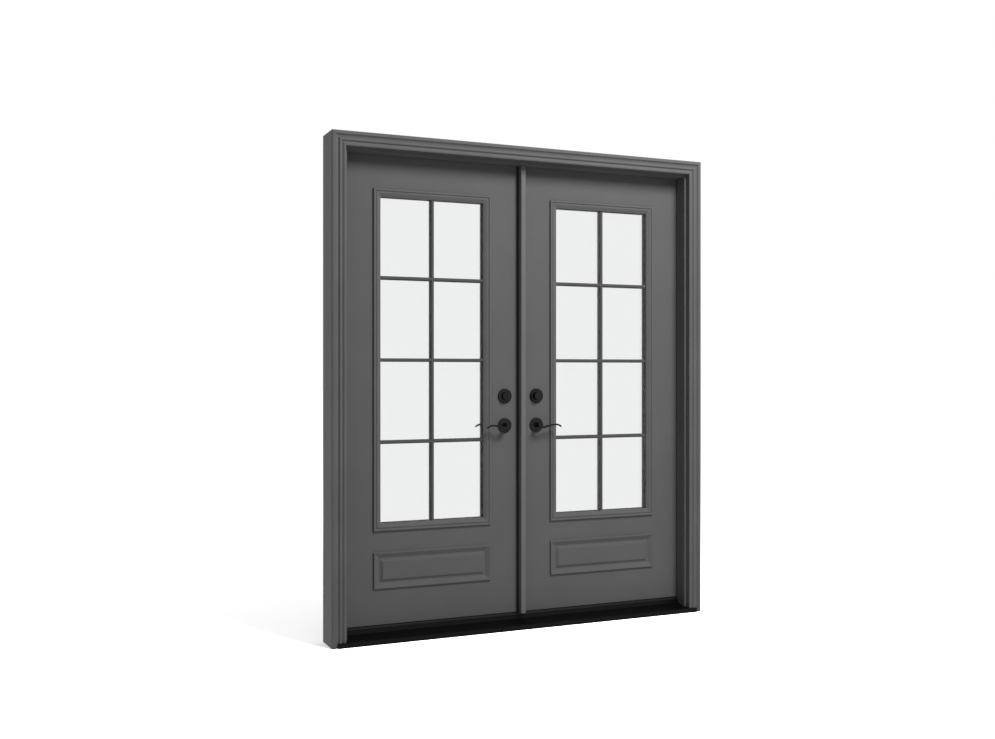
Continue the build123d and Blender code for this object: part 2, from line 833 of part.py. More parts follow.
def lever_arm(face_y, out):
    """Wave-shaped arm, seen from the front, with its tip away from the meeting edges."""
    line = [(0, 0, 6.5), (15, -9, 5.6), (31, -5, 4.9), (54, 0, 4.4), (76, 2.5, 4.1), (92, -1.0, 3.8), (104, -9, 3.2)]
    upper = Spline(*[(-x, z + half) for x, z, half in line])
    lower = Spline(*[(-x, z - half) for x, z, half in line])
    edges = [upper, Line(upper @ 1, lower @ 1), lower, Line(upper @ 0, lower @ 0)]
    near = face_y + out.Y * lever_stand
    face = Plane((lock_x, near, lever_z), x_dir=(1, 0, 0), z_dir=(0, -1, 0)) * make_face(edges)
    return extrude(face, -out.Y * lever_thickness)


def lever(face_y, out):
    """Lever handle: neck, hub and arm."""
    end = lever_stand + lever_thickness
    body = turned(
        lock_x, face_y, lever_z, out,
        (neck_radius, neck_radius, -boss_depth / 2, lever_stand),
        (hub_radius, hub_radius, lever_stand, end - 3),
        (hub_radius, hub_radius - 3, end - 3, end),
    )
    return body + lever_arm(face_y, out)


def lever_pair():
    """Outer lever with its square spindle, and the inner lever that it fits."""
    half = spindle_size / 2
    spindle = block(lock_x - half, lock_x + half, leaf_outer_y + boss_depth / 2,
                    leaf_inner_y + lever_stand / 2, lever_z - half, lever_z + half)
    return lever(leaf_outer_y, OUTSIDE) + spindle, lever(leaf_inner_y, INSIDE) - spindle


def cross_bore(z, radius):
    """Hole through the leaf for a pair of plates."""
    return turned(lock_x, leaf_mid_y, z, INSIDE, (radius, radius, -leaf_thickness, leaf_thickness))


# Astragal, which is made in its own place on the right leaf

def strike_pocket(z, depth):
    """Opening for a bolt behind its strike."""
    half_y = bolt_depth / 2 + 2 * moving_clearance
    half_z = bolt_height / 2 + 2 * moving_clearance
    return block(stem_left - 1, stem_left + depth, leaf_mid_y - half_y, leaf_mid_y + half_y, z - half_z, z + half_z)


def strike_plate(z):
    """Space of a strike let into the astragal's edge."""
    half_y = face_plate_width / 2 + 2
    return block(stem_left, stem_left + strike_thickness, leaf_mid_y - half_y, leaf_mid_y + half_y,
                 z - strike_height / 2, z + strike_height / 2)


def strike_screws(z):
    """Two screws of a strike."""
    offset = strike_height / 2 - screw_head_radius - 2
    return [screw((stem_left, leaf_mid_y, z + sign * offset), RIGHT, screw_length, 3.4, 1.8) for sign in (-1, 1)]


def astragal_screws():
    """Screws that hold the astragal to the leaf's edge."""
    levels = [leaf_bottom + leaf_height * share for share in (0.2, 0.36, 0.6, 0.72, 0.82)]
    return [screw((stem_left, leaf_mid_y, z), RIGHT, screw_length + astragal_stem) for z in levels]


def shoot_bolt(tip, toward):
    """Round bolt with a finger tab, its tip at a height and pointing up for 1 or down for -1."""
    x = (stem_left + stem_right) / 2
    tail = tip - toward * shoot_length
    bolt = tube_z(x, leaf_mid_y, min(tip, tail), max(tip, tail), shoot_radius)
    middle = tip - toward * shoot_length * 0.7
    bolt += block(stem_left + moving_clearance, x, leaf_mid_y - tab_depth / 2, leaf_mid_y + tab_depth / 2,
                  middle - tab_length / 2, middle + tab_length / 2)
    return bolt


def shoot_channel(tip, toward):
    """Bore and slot in the astragal in which a shoot bolt slides."""
    x = (stem_left + stem_right) / 2
    tail = tip - toward * (shoot_length + moving_clearance)
    mouth = tip + toward * (shoot_throw + shoot_inset)
    channel = tube_z(x, leaf_mid_y, min(mouth, tail), max(mouth, tail), shoot_radius + running_clearance)
    middle = tip - toward * shoot_length * 0.7
    ends = sorted((middle - toward * (tab_length / 2 + moving_clearance),
                   middle + toward * (tab_length / 2 + moving_clearance + shoot_throw)))
    half = tab_depth / 2 + moving_clearance
    channel += block(stem_left - 1, x, leaf_mid_y - half, leaf_mid_y + half, ends[0], ends[1])
    return channel


def astragal():
    """Cover strip in front of the meeting gap, seated on the right leaf and on the stem."""
    front = leaf_outer_y - astragal_front
    foot = threshold_top + astragal_foot
    top = head_stop_z - astragal_foot
    back = leaf_outer_y - astragal_seal_depth
    half = astragal_width / 2
    edge = astragal_edge
    section = outline(
        (-half, back),
        (-half, front + 2.5 * edge),
        (-half + edge / 2, front + 2 * edge),
        (-half + edge / 2, front + edge / 2),
        ((edge * 0.65 - half, front + edge * 0.15), (edge - half, front)),
        (half - edge, front),
        ((half - edge * 0.65, front + edge * 0.15), (half - edge / 2, front + edge / 2)),
        (half - edge / 2, front + 2 * edge),
        (half, front + 2.5 * edge),
        (half, leaf_outer_y),
        (stem_right, leaf_outer_y),
        (stem_right, back),
    )
    return extrude(Pos(0, 0, foot) * section, top - foot)


def meeting_strip(holes):
    """Strip on the right leaf's meeting edge, behind the cover, which carries the strikes and bolts."""
    foot = threshold_top + astragal_foot
    top = head_stop_z - astragal_foot
    back = leaf_outer_y - astragal_seal_depth
    strip = block(stem_left, stem_right, back, leaf_inner_y, foot, top)
    strip += block(stem_left, stem_right, leaf_outer_y + moving_clearance, leaf_inner_y, top, leaf_top)
    return cut(strip, holes)


def astragal_seals():
    """Bulb strip behind the flange, with a lip that lies along the left leaf, and a foam pad under the stem."""
    flange_left = -astragal_width / 2
    foot = threshold_top + astragal_foot
    top = head_stop_z - astragal_foot
    back = leaf_outer_y - moving_clearance
    bulb = block(flange_left + 1, stem_left, leaf_outer_y - astragal_seal_depth, back, foot, top)
    bulb += block(flange_left - astragal_seal_reach, flange_left + 1, back - astragal_seal_lip, back, foot, top)
    pad = block(stem_left, stem_right, leaf_outer_y, leaf_mid_y - tab_depth,
                threshold_top + moving_clearance, threshold_top + astragal_foot)
    return [bulb, pad]


def keepers(upper_hole, lower_hole):
    """Plates in the head and in the threshold cap that take the shoot bolts."""
    half_x = keeper_width / 2
    half_y = keeper_length / 2
    x = (stem_left + stem_right) / 2
    upper = block(x - half_x, x + half_x, leaf_mid_y - half_y, leaf_mid_y + half_y,
                  head_rebate_z, head_rebate_z + strike_thickness)
    lower = block(x - half_x, x + half_x, leaf_mid_y - half_y, leaf_mid_y + half_y,
                  threshold_top - strike_thickness, threshold_top)
    return upper, lower, upper - upper_hole, lower - lower_hole


def main():
    os.makedirs("parts", exist_ok=True)

    # Shoot bolts and the holes that they shoot into
    upper_tip = leaf_top - shoot_inset
    lower_tip = threshold_top + astragal_foot + shoot_inset
    shoot_x = (stem_left + stem_right) / 2
    hole_radius = shoot_radius + 2 * moving_clearance
    upper_hole = tube_z(shoot_x, leaf_mid_y, head_rebate_z - 1, upper_tip + shoot_throw + 2, hole_radius)
    lower_hole = tube_z(shoot_x, leaf_mid_y, lower_tip - shoot_throw - 2, threshold_top + 1, hole_radius)
    upper_seat, lower_seat, upper_keeper, lower_keeper = keepers(upper_hole, lower_hole)
    save("bolt_keepers", upper_keeper, lower_keeper)

    # Sill
    space = sill_space()
    base = sill_base()
    save("sill_base", base - lower_hole)
    save("sill_deck", space - base - lower_hole)
    save("threshold_cap", threshold_cap() - lower_seat - lower_hole)

    # Frame
    frame_screws = [item for level in hinge_levels for item in hinge_screws(level, 0)]
    mortises = [hinge_mortise(level, 0) for level in hinge_levels]
    fixings = [
        tube_x(-half_width - 1, rebate_x + 1, leaf_mid_y, fixing_first + index * fixing_spacing, fixing_radius)
        for index in range(fixing_count)
    ]
    post = cut(left_jamb() - space, mortises + frame_screws + fixings)
    save("left_jamb", post)
    save("right_jamb", to_right(post))
    plain_post = left_jamb()
    save("head_jamb", cut(head_jamb([plain_post, to_right(plain_post)]), [upper_seat, upper_hole]))
    left_casing, right_casing, head_casing = casings()
    save("left_casing", left_casing)
    save("right_casing", right_casing)
    save("head_casing", head_casing)
    save("frame_weatherstrip", *frame_seals())
    plates = [cut(hinge_plate(level, 0), frame_screws) for level in hinge_levels]
    pins = [hinge_pin(level) for level in hinge_levels]
    save("frame_hinge_plates", *plates, *[to_right(item) for item in plates])
    save("hinge_pins", *pins, *[to_right(item) for item in pins])
    save("frame_screws", *frame_screws, *[to_right(item) for item in frame_screws])

    # Left leaf, with the working lock and latch
    case_screws = {z: face_plate_screws(z) for z in (lever_z, deadbolt_z)}
    lever_bolts = through_bolts(lever_z)
    deadbolt_bolts = through_bolts(deadbolt_z)
    bores = [cross_bore(z, cross_bore_radius) for z in (lever_z, deadbolt_z)]
    latch_case_length = backset + latch_throw + spindle_size * math.sqrt(2) / 2 + 6
    deadbolt_case_length = backset + deadbolt_throw + tail_width / 2 + 7
    case_holes = [
        tube_x(lock_edge_x - latch_case_length, lock_edge_x, leaf_mid_y, lever_z, case_radius),
        tube_x(lock_edge_x - deadbolt_case_length, lock_edge_x, leaf_mid_y, deadbolt_z, case_radius),
        face_plate_space(lever_z),
        face_plate_space(deadbolt_z),
    ]
    all_case_screws = case_screws[lever_z] + case_screws[deadbolt_z]
    left = leaf_pieces(bores + case_holes + all_case_screws, bores)
    left["screws"] = left["screws"] + all_case_screws + lever_bolts + deadbolt_bolts
    left["lock_cases"] = [
        lock_case(lever_z, latch_case_length, spindle_size * math.sqrt(2) / 2 + 1, case_screws[lever_z]),
        lock_case(deadbolt_z, deadbolt_case_length, tail_width / 2 + 1, case_screws[deadbolt_z]),
    ]
    neck_hole = neck_radius + moving_clearance
    left["roses"] = [
        cut(rose(leaf_outer_y, OUTSIDE, lever_z, neck_hole), lever_bolts),
        cut(rose(leaf_inner_y, INSIDE, lever_z, neck_hole), lever_bolts),
    ]
    left["deadbolt_housing"] = [cut(cylinder_housing(plug_radius + running_clearance), deadbolt_bolts)]
    left["thumbturn_plate"] = [
        cut(rose(leaf_inner_y, INSIDE, deadbolt_z, turn_stem_radius + running_clearance), deadbolt_bolts)
    ]
    left["key_plug"] = [key_plug()]
    left["thumbturn"] = [thumbturn()]
    left["deadbolt"] = [deadbolt()]
    left["latch"] = [latch()]
    left["levers"] = list(lever_pair())
    for name, shapes in left.items():
        save("left_" + name, *shapes)

    # Right leaf, with fixed deadbolt trim and a lever pair that works nothing
    bolt_pocket = to_right(strike_pocket(deadbolt_z, deadbolt_throw - meeting_clearance + 1))
    strip_screws = astragal_screws()
    strike_fixings = strike_screws(lever_z) + strike_screws(deadbolt_z)
    edge_fixings = [to_right(item) for item in strip_screws + strike_fixings]
    spindle_bore = cross_bore(lever_z, cross_bore_radius)
    dummy_bore = cross_bore(deadbolt_z, boss_radius)
    right = leaf_pieces([spindle_bore, dummy_bore, bolt_pocket] + edge_fixings, [spindle_bore, dummy_bore])
    right["screws"] = right["screws"] + lever_bolts + deadbolt_bolts + edge_fixings
    dummy_turn = rose(leaf_inner_y, INSIDE, deadbolt_z, turn_stem_radius) + turn_piece()
    right["dummy_cylinders"] = [cut(cylinder_housing(0), deadbolt_bolts), cut(dummy_turn, deadbolt_bolts)]
    right["roses"] = left["roses"]
    right["levers"] = left["levers"]
    for name, shapes in right.items():
        save("right_" + name, *[to_right(item) for item in shapes])

    pockets = [strike_pocket(lever_z, astragal_stem + 1), strike_pocket(deadbolt_z, astragal_stem + 1)]
    strikes = [strike_plate(lever_z), strike_plate(deadbolt_z)]
    channels = [shoot_channel(upper_tip, 1), shoot_channel(lower_tip, -1)]
    save("astragal", astragal())
    save("astragal_stem", meeting_strip(pockets + strikes + channels + strip_screws + strike_fixings))
    save("astragal_seals", *astragal_seals())
    save("strikes", *[cut(plate, pockets + strike_fixings) for plate in strikes])
    save("upper_shoot_bolt", shoot_bolt(upper_tip, 1))
    save("lower_shoot_bolt", shoot_bolt(lower_tip, -1))


main()
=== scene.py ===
# %% [markdown]
# # A pair of garden doors in their frame
#
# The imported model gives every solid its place. This lesson dresses it: moulded trim, pressed door
# skins, glazing frames, handles and paint, each as a surface that is worked out from a formula and put
# exactly where the solid stands. All lengths below are in millimetres, and one factor turns them into
# Blender's metres.

# %% Load the frame
import math

import bmesh
import bpy
import numpy as np
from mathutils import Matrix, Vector
from mathutils.geometry import delaunay_2d_cdt


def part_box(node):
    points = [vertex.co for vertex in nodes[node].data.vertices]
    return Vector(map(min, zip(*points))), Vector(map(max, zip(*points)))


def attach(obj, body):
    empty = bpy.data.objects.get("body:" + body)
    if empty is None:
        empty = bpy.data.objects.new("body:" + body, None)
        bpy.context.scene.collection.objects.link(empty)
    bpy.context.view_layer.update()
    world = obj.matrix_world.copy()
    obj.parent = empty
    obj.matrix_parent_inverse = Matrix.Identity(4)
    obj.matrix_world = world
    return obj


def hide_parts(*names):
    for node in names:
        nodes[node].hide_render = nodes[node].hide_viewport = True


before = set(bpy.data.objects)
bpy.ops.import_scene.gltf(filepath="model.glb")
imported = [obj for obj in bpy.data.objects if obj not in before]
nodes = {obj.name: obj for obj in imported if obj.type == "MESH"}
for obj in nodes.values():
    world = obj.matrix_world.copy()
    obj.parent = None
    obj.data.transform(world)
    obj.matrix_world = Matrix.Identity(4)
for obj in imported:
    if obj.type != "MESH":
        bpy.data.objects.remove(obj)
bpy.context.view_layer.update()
MM = 0.001


# %% [markdown]
# ## Sizes read from the solids
#
# A piece that stands for a solid has to stay where that solid is. Typing the places in again would let
# the two drift apart, so they are measured on the solids' boxes. Only what no box gives is written
# further down: the small shapes of the mouldings, and the places of the locks and of the panels.

# %% Measure the solids
def extent(name):
    """Lowest and highest corner of a solid's box, in millimetres."""
    low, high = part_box(name)
    return np.array(low) / MM, np.array(high) / MM


def front_extent(name):
    """The same box seen from the front: its lowest and highest corner in x and z."""
    return [corner[[0, 2]] for corner in extent(name)]


casing_low, casing_high = extent("left_casing")
casing_width = casing_high[0] - casing_low[0]
casing_front, casing_back = casing_low[1], casing_high[1]
half_width = -casing_low[0]
overall_height = extent("head_casing")[1][2]
stile_low, stile_high = extent("left_lock_stile")
SKIN = 2.0
leaf_outer = stile_low[1] - SKIN
leaf_inner = stile_high[1] + SKIN
print("half width", half_width, "height", overall_height, "leaf faces", leaf_outer, leaf_inner)


# %% [markdown]
# ## From a grid of points to a mesh
#
# Most pieces here are either a profile carried along a path or a profile turned round an axis. Both
# give a rectangular grid of points, so one helper turns such grids into a mesh: it joins each point
# with its neighbours, closes the grid where the surface meets itself, merges doubled points at seams
# and poles, and turns all faces outwards.

# %% Grid and mesh
WELD = 0.02
SHARP_ANGLE = 32


def grid_faces(rows, columns, wrap_rows=False, wrap_columns=False, first=0):
    """Four-cornered faces of a grid, as whole arrays of point numbers.

    Face (i, j) joins the points (i, j), (i + 1, j), (i + 1, j + 1) and (i, j + 1)."""
    i = np.arange(rows if wrap_rows else rows - 1)
    j = np.arange(columns if wrap_columns else columns - 1)
    i, j = np.meshgrid(i, j, indexing="ij")
    next_i, next_j = (i + 1) % rows, (j + 1) % columns
    corners = (i * columns + j, next_i * columns + j, next_i * columns + next_j, i * columns + next_j)
    return first + np.stack([c.ravel() for c in corners], axis=1)


def make_mesh(name, points, faces, facing=None, sharp_angle=SHARP_ANGLE):
    """Mesh from points in millimetres and lists of point numbers, with welded seams and outward faces.

    An open sheet has no inside, so for one the direction in which it looks along y is given: 1 or -1.
    An edge is sharp where its two faces meet at more than the angle, or where it has only one face."""
    mesh = bpy.data.meshes.new(name)
    mesh.from_pydata((np.asarray(points) * MM).tolist(), [], [list(map(int, f)) for f in faces])
    shell = bmesh.new()
    shell.from_mesh(mesh)
    bmesh.ops.remove_doubles(shell, verts=shell.verts, dist=WELD * MM)
    bmesh.ops.dissolve_degenerate(shell, edges=shell.edges, dist=WELD * MM / 4)
    bmesh.ops.recalc_face_normals(shell, faces=shell.faces)
    if facing and facing * sum(f.normal.y * f.calc_area() for f in shell.faces) < 0:
        bmesh.ops.reverse_faces(shell, faces=shell.faces)
    shell.to_mesh(mesh)
    shell.free()
    mesh.shade_smooth()
    mesh.set_sharp_from_angle(angle=math.radians(sharp_angle))
    users = np.zeros(len(mesh.loops), int)
    mesh.loops.foreach_get("edge_index", users)
    sharp = np.zeros(len(mesh.edges), bool)
    mesh.edges.foreach_get("use_edge_sharp", sharp)
    rim = np.bincount(users, minlength=len(sharp)) == 1
    mesh.edges.foreach_set("use_edge_sharp", sharp | rim)
    return mesh


print("a grid of 3 by 4 points has", len(grid_faces(3, 4)), "faces")


# %% [markdown]
# ## From a mesh to a piece of the door
#
# Every piece ends with the same steps. It gets its material and its place in the scene, rides on the
# body that it moves with, and stands for the solids whose place it takes. One pair of helpers does
# this for all, so no piece can miss a step.

# %% Pieces
def new_object(name, data):
    """Object linked into the scene."""
    made = bpy.data.objects.new(name, data)
    bpy.context.scene.collection.objects.link(made)
    return made


def finish_piece(name, mesh, material, body, stands_for=()):
    """Object with its mesh and material, riding on its body and standing for its solids."""
    mesh.materials.append(material)
    piece = new_object(name, mesh)
    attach(piece, body)
    if stands_for:
        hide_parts(*stands_for)
    print("made", name, len(mesh.polygons), "faces")
    return piece


def make_piece(name, sheets, material, body, stands_for=(), sharp_angle=SHARP_ANGLE):
    """Finished piece from sheets of points.

    A sheet is (grid, wrap_rows, wrap_columns, caps): a grid of points, whether its rows and columns
    close on themselves, and which of its end rows get a face: "first", "last", "both" or None."""
    points, faces, first = [], [], 0
    for grid, wrap_rows, wrap_columns, caps in sheets:
        rows, columns = grid.shape[:2]
        points.append(grid.reshape(-1, 3))
        faces += grid_faces(rows, columns, wrap_rows, wrap_columns, first).tolist()
        if caps in ("first", "both"):
            faces.append(list(range(first, first + columns)))
        if caps in ("last", "both"):
            faces.append(list(range(first + (rows - 1) * columns, first + rows * columns)))
        first += rows * columns
    mesh = make_mesh(name, np.concatenate(points), faces, sharp_angle=sharp_angle)
    return finish_piece(name, mesh, material, body, stands_for)


# %% [markdown]
# ## Paint and other finishes
#
# Real paint on a door is never one flat colour. It has a faint mottle from the roller or the spray
# gun, a fine orange-peel relief that breaks up reflections, and a satin sheen that varies a little.
# So each finish below mixes two close colours with noise, varies the roughness, and adds relief at the
# real scale. All patterns read Object coordinates, because every piece sits at the origin with its
# place in its mesh, and so the pattern stays put when a leaf swings.

# %% Finish of a surface
CLOUD_LOW, CLOUD_HIGH = 0.3, 0.7
ALONG_X, ALONG_Z = 0, 2


def grey(value):
    """Linear colour of a display grey from 0 to 255.

    With v = value / 255 it is v / 12.92 near black, and else ((v + 0.055) / 1.055)^2.4."""
    v = value / 255
    linear = v / 12.92 if v <= 0.04045 else ((v + 0.055) / 1.055) ** 2.4
    return (linear, linear, linear, 1.0)


def drawn_out(axis, times):
    """Stretch that makes a pattern's waves so many times longer along one axis, or None for no axis."""
    return [1 / times if place == axis else 1.0 for place in range(3)]


class Finish:
    """A node material with one Principled shader, and short calls for the patterns that drive it.

    Noise seldom leaves the range from CLOUD_LOW to CLOUD_HIGH, so that range is spread over a finish."""

    def __init__(self, name, roughness=0.5, metallic=0.0, specular=0.5):
        self.material = bpy.data.materials.new(name)
        self.material.use_nodes = True
        self.tree = self.material.node_tree
        self.shader = self.tree.nodes["Principled BSDF"]
        self.shader.inputs["Roughness"].default_value = roughness
        self.shader.inputs["Metallic"].default_value = metallic
        self.shader.inputs["Specular IOR Level"].default_value = specular
        self.coordinates = self.tree.nodes.new("ShaderNodeTexCoord").outputs["Object"]

    def add(self, kind, **inputs):
        """New node with its inputs set, by name, to values or to other nodes' outputs."""
        node = self.tree.nodes.new(kind)
        for key, value in inputs.items():
            socket = node.inputs[key.replace("_", " ")]
            if isinstance(value, bpy.types.NodeSocket):
                self.tree.links.new(value, socket)
            else:
                socket.default_value = value
        return node

    def noise(self, scale, stretch=(1, 1, 1), detail=3.0, roughness=0.5):
        """Cloudy pattern from 0 to 1: scale waves a metre, times the stretch along each axis."""
        place = self.add("ShaderNodeMapping", Vector=self.coordinates, Scale=stretch)
        made = self.add("ShaderNodeTexNoise", Vector=place.outputs["Vector"], Scale=scale, Detail=detail,
                        Roughness=roughness)
        return made.outputs["Fac"]

    def colour(self, pattern, dark, light, start=CLOUD_LOW, end=CLOUD_HIGH):
        """Base colour that runs from dark to light with a pattern."""
        ramp = self.tree.nodes.new("ShaderNodeValToRGB")
        for element, position, colour in zip(ramp.color_ramp.elements, (start, end), (dark, light)):
            element.position = position
            element.color = colour
        self.tree.links.new(pattern, ramp.inputs["Fac"])
        self.tree.links.new(ramp.outputs["Color"], self.shader.inputs["Base Color"])

    def sheen(self, pattern, low, high):
        """Roughness that runs in a straight line from low to high with a pattern, and is held there."""
        made = self.add("ShaderNodeMapRange", Value=pattern, From_Min=CLOUD_LOW, From_Max=CLOUD_HIGH,
                        To_Min=low, To_Max=high)
        self.tree.links.new(made.outputs["Result"], self.shader.inputs["Roughness"])

    def relief(self, *layers):
        """Bump from several layers, each a pattern, its depth in millimetres and its strength."""
        normal = None
        for pattern, depth, strength in layers:
            bump = self.add("ShaderNodeBump", Height=pattern, Distance=depth * MM, Strength=strength)
            if normal:
                self.tree.links.new(normal, bump.inputs["Normal"])
            normal = bump.outputs["Normal"]
        self.tree.links.new(normal, self.shader.inputs["Normal"])


print("display grey 91 is linear", round(grey(91)[0], 4))


# %% [markdown]
# ### Charcoal paint
#
# The door is one neutral charcoal, but the pieces are made differently. The pressed skins were sprayed
# and show orange peel about 2 mm across. The trim was brushed or run through a coater, so its fine
# streaks follow the length of each board. The glazing frames are moulded, with a fine even grain. A
# texture image could hold all this, but noise has no seams and no limit to its detail. The paint's
# mirror-like part is weak, so a side that is seen at a flat angle stays dark. The glazing bars get a
# darker copy of the paint as painted shade, and the cover strip a lighter one as painted light.

# %% Paint finishes
PAINT, PAINT_SHINE = 91, 0.06


def sprayed_paint(name, value=PAINT - 2, low=0.38, high=0.48):
    """Sprayed satin paint: wide mottle for the colour, orange peel for the relief."""
    f = Finish(name, specular=PAINT_SHINE)
    mottle = f.noise(3.2, detail=5.0, roughness=0.6)
    f.colour(mottle, grey(value - 2), grey(value + 2))
    f.sheen(f.noise(24.0, detail=3.0), low, high)
    f.relief((f.noise(420.0, detail=2.0), 0.06, 0.35), (f.noise(1500.0, detail=1.0), 0.02, 0.2))
    return f.material


def board_paint(name, along, value=PAINT, low=0.34, high=0.46):
    """Painted timber: faint streaks along the board over a soft mottle."""
    f = Finish(name, specular=PAINT_SHINE)
    streaks = f.noise(260.0, drawn_out(along, 30), detail=4.0, roughness=0.55)
    f.colour(f.noise(5.0, detail=4.0), grey(value - 3), grey(value + 2))
    f.sheen(streaks, low, high)
    f.relief((streaks, 0.10, 0.30), (f.noise(900.0, detail=2.0), 0.03, 0.25))
    return f.material


def moulded_paint(name, value=PAINT, low=0.34, high=0.46):
    """Painted moulding of plastic: fine even grain."""
    f = Finish(name, specular=PAINT_SHINE)
    f.colour(f.noise(7.0, detail=4.0), grey(value - 2), grey(value + 2))
    f.sheen(f.noise(60.0), low, high)
    f.relief((f.noise(1100.0, detail=2.0), 0.03, 0.30), (f.noise(140.0), 0.03, 0.15))
    return f.material


skin_paint = sprayed_paint("skin_paint")
upright_paint = board_paint("upright_board_paint", along=ALONG_Z)
level_paint = board_paint("level_board_paint", along=ALONG_X)
lite_paint = moulded_paint("glazing_frame_paint")
# Painted shade: the glazing bars' paint is 14 greys darker than the door's, standing in for the shade on the
# thin bars.
bar_shaded_paint = moulded_paint("glazing_bar_painted_shade", PAINT - 14)
# Painted light: the cover strip's paint is 9 greys lighter than the door's, standing in for the light that
# its front and sides catch.
cover_lit_paint = board_paint("cover_strip_painted_light", along=ALONG_Z, value=PAINT + 9)
paints = (skin_paint, upright_paint, level_paint, lite_paint, bar_shaded_paint, cover_lit_paint)
print("paints", [paint.name for paint in paints])


# %% [markdown]
# ### Glass and metal
#
# Sealed glazing is two thin clear panes. Each is a real slab, so light bends in and straight out
# again, and the faint green-grey of the glass comes from its tint. The handles and the sill's cover
# are black metal under a satin coat. A coat hides the metal, so its shader isn't metallic. Only the
# bolts, the lock cases and the spacers are bare metal.

# %% Glass and metal finishes
GLASS_TINT = (0.920, 0.926, 0.924, 1.0)


def clear_glass(name):
    """Window glass: fully transmitting, very smooth, with a faint tint."""
    f = Finish(name, roughness=0.0)
    f.shader.inputs["Base Color"].default_value = GLASS_TINT
    f.shader.inputs["Transmission Weight"].default_value = 1.0
    f.shader.inputs["IOR"].default_value = 1.45
    return f.material


def black_metal(name, value=14, low=0.30, high=0.44, brushed=None, specular=0.24):
    """Black coated metal: nearly even colour, satin sheen, fine texture or brush lines."""
    f = Finish(name, specular=specular)
    grain = f.noise(700.0, drawn_out(brushed, 60), detail=3.0)
    f.colour(f.noise(35.0, detail=4.0), grey(0.8 * value), grey(1.15 * value))
    f.sheen(grain, low, high)
    f.relief((grain, 0.025, 0.35))
    return f.material


def bare_metal(name, value, low=0.24, high=0.42, along=None):
    """Plated or milled metal with fine lines along one axis."""
    f = Finish(name, metallic=1.0)
    lines = f.noise(1200.0, drawn_out(along, 40), detail=3.0)
    f.colour(f.noise(90.0, detail=4.0), grey(value - 12), grey(value + 8))
    f.sheen(lines, low, high)
    f.relief((lines, 0.02, 0.30))
    return f.material


glass = clear_glass("window_glass")
handle_metal = black_metal("satin_black_metal")
hinge_metal = black_metal("hinge_black_metal", 34, brushed=ALONG_Z)
sill_metal = black_metal("sill_black_metal", 6, 0.42, 0.56, brushed=ALONG_X, specular=0.12)
steel = bare_metal("plated_steel", 190)
bolt_steel = bare_metal("satin_steel", 150, along=ALONG_X)
upright_steel = bare_metal("upright_steel", 150, along=ALONG_Z)
spacer_metal = bare_metal("spacer_aluminium", 170, 0.35, 0.5)
metals = (handle_metal, hinge_metal, sill_metal, steel, bolt_steel, upright_steel, spacer_metal)
print(glass.name, "and metals", [metal.name for metal in metals])


# %% [markdown]
# ### Rubber, composite and foam
#
# The seals are matt rubber with a fine pore. The threshold bar and the bed of the sill are a composite
# with a long grain, as it leaves the die in which it was drawn. The foam inside a leaf has small closed
# cells, for which a pattern of cells fits better than noise.

# %% Dull finishes
FOAM_DARK, FOAM_LIGHT = (0.80, 0.74, 0.52, 1), (0.90, 0.85, 0.66, 1)


def rubber(name, value=24):
    """Matt seal: dark, rough, with a fine pore."""
    f = Finish(name, roughness=0.8, specular=0.3)
    f.colour(f.noise(120.0, detail=4.0), grey(value - 5), grey(value + 6))
    f.sheen(f.noise(300.0), 0.70, 0.9)
    f.relief((f.noise(1600.0, detail=2.0), 0.05, 0.5))
    return f.material


def composite(name, value=30):
    """Dark composite: long grain along X with a dull sheen."""
    f = Finish(name, specular=0.25)
    grain = f.noise(320.0, drawn_out(ALONG_X, 25), detail=4.0, roughness=0.6)
    f.colour(grain, grey(value - 7), grey(value + 5))
    f.sheen(grain, 0.45, 0.62)
    f.relief((grain, 0.12, 0.4))
    return f.material


def foam(name):
    """Rigid foam with small closed cells, hidden inside the leaf."""
    f = Finish(name, roughness=0.9, specular=0.2)
    cells = f.add("ShaderNodeTexVoronoi", Vector=f.coordinates, Scale=900.0).outputs["Distance"]
    f.colour(cells, FOAM_DARK, FOAM_LIGHT, 0.0, 0.6)
    f.relief((cells, 0.3, 0.6))
    return f.material


seal_rubber = rubber("seal_rubber")
cap_composite = composite("threshold_composite")
bed_composite = composite("sill_bed_composite", 60)
core_foam = foam("core_foam")
print("dull finishes", [dull.name for dull in (seal_rubber, cap_composite, bed_composite, core_foam)])

# %% [markdown]
# ### Finishes on the solids that stay
#
# Solids whose shape is already right keep their mesh and get a finish in their material slots. The two
# leaves are alike, so a loop over their names dresses both.

# %% Dress the solids
solid_finish = {
    "left_jamb": upright_paint, "right_jamb": upright_paint, "head_jamb": level_paint,
    "left_casing": upright_paint, "right_casing": upright_paint, "head_casing": level_paint,
    "sill_base": bed_composite, "sill_deck": sill_metal, "threshold_cap": cap_composite,
    "frame_weatherstrip": seal_rubber, "frame_hinge_plates": hinge_metal, "hinge_pins": hinge_metal,
    "frame_screws": hinge_metal, "bolt_keepers": hinge_metal,
    "astragal": cover_lit_paint, "astragal_stem": upright_paint, "astragal_seals": seal_rubber,
    "strikes": hinge_metal, "right_dummy_cylinders": handle_metal,
    "left_lock_cases": steel, "left_deadbolt_housing": handle_metal, "left_thumbturn_plate": handle_metal,
    "left_key_plug": handle_metal, "left_thumbturn": handle_metal, "left_deadbolt": bolt_steel,
    "left_latch": bolt_steel, "upper_shoot_bolt": upright_steel, "lower_shoot_bolt": upright_steel,
}
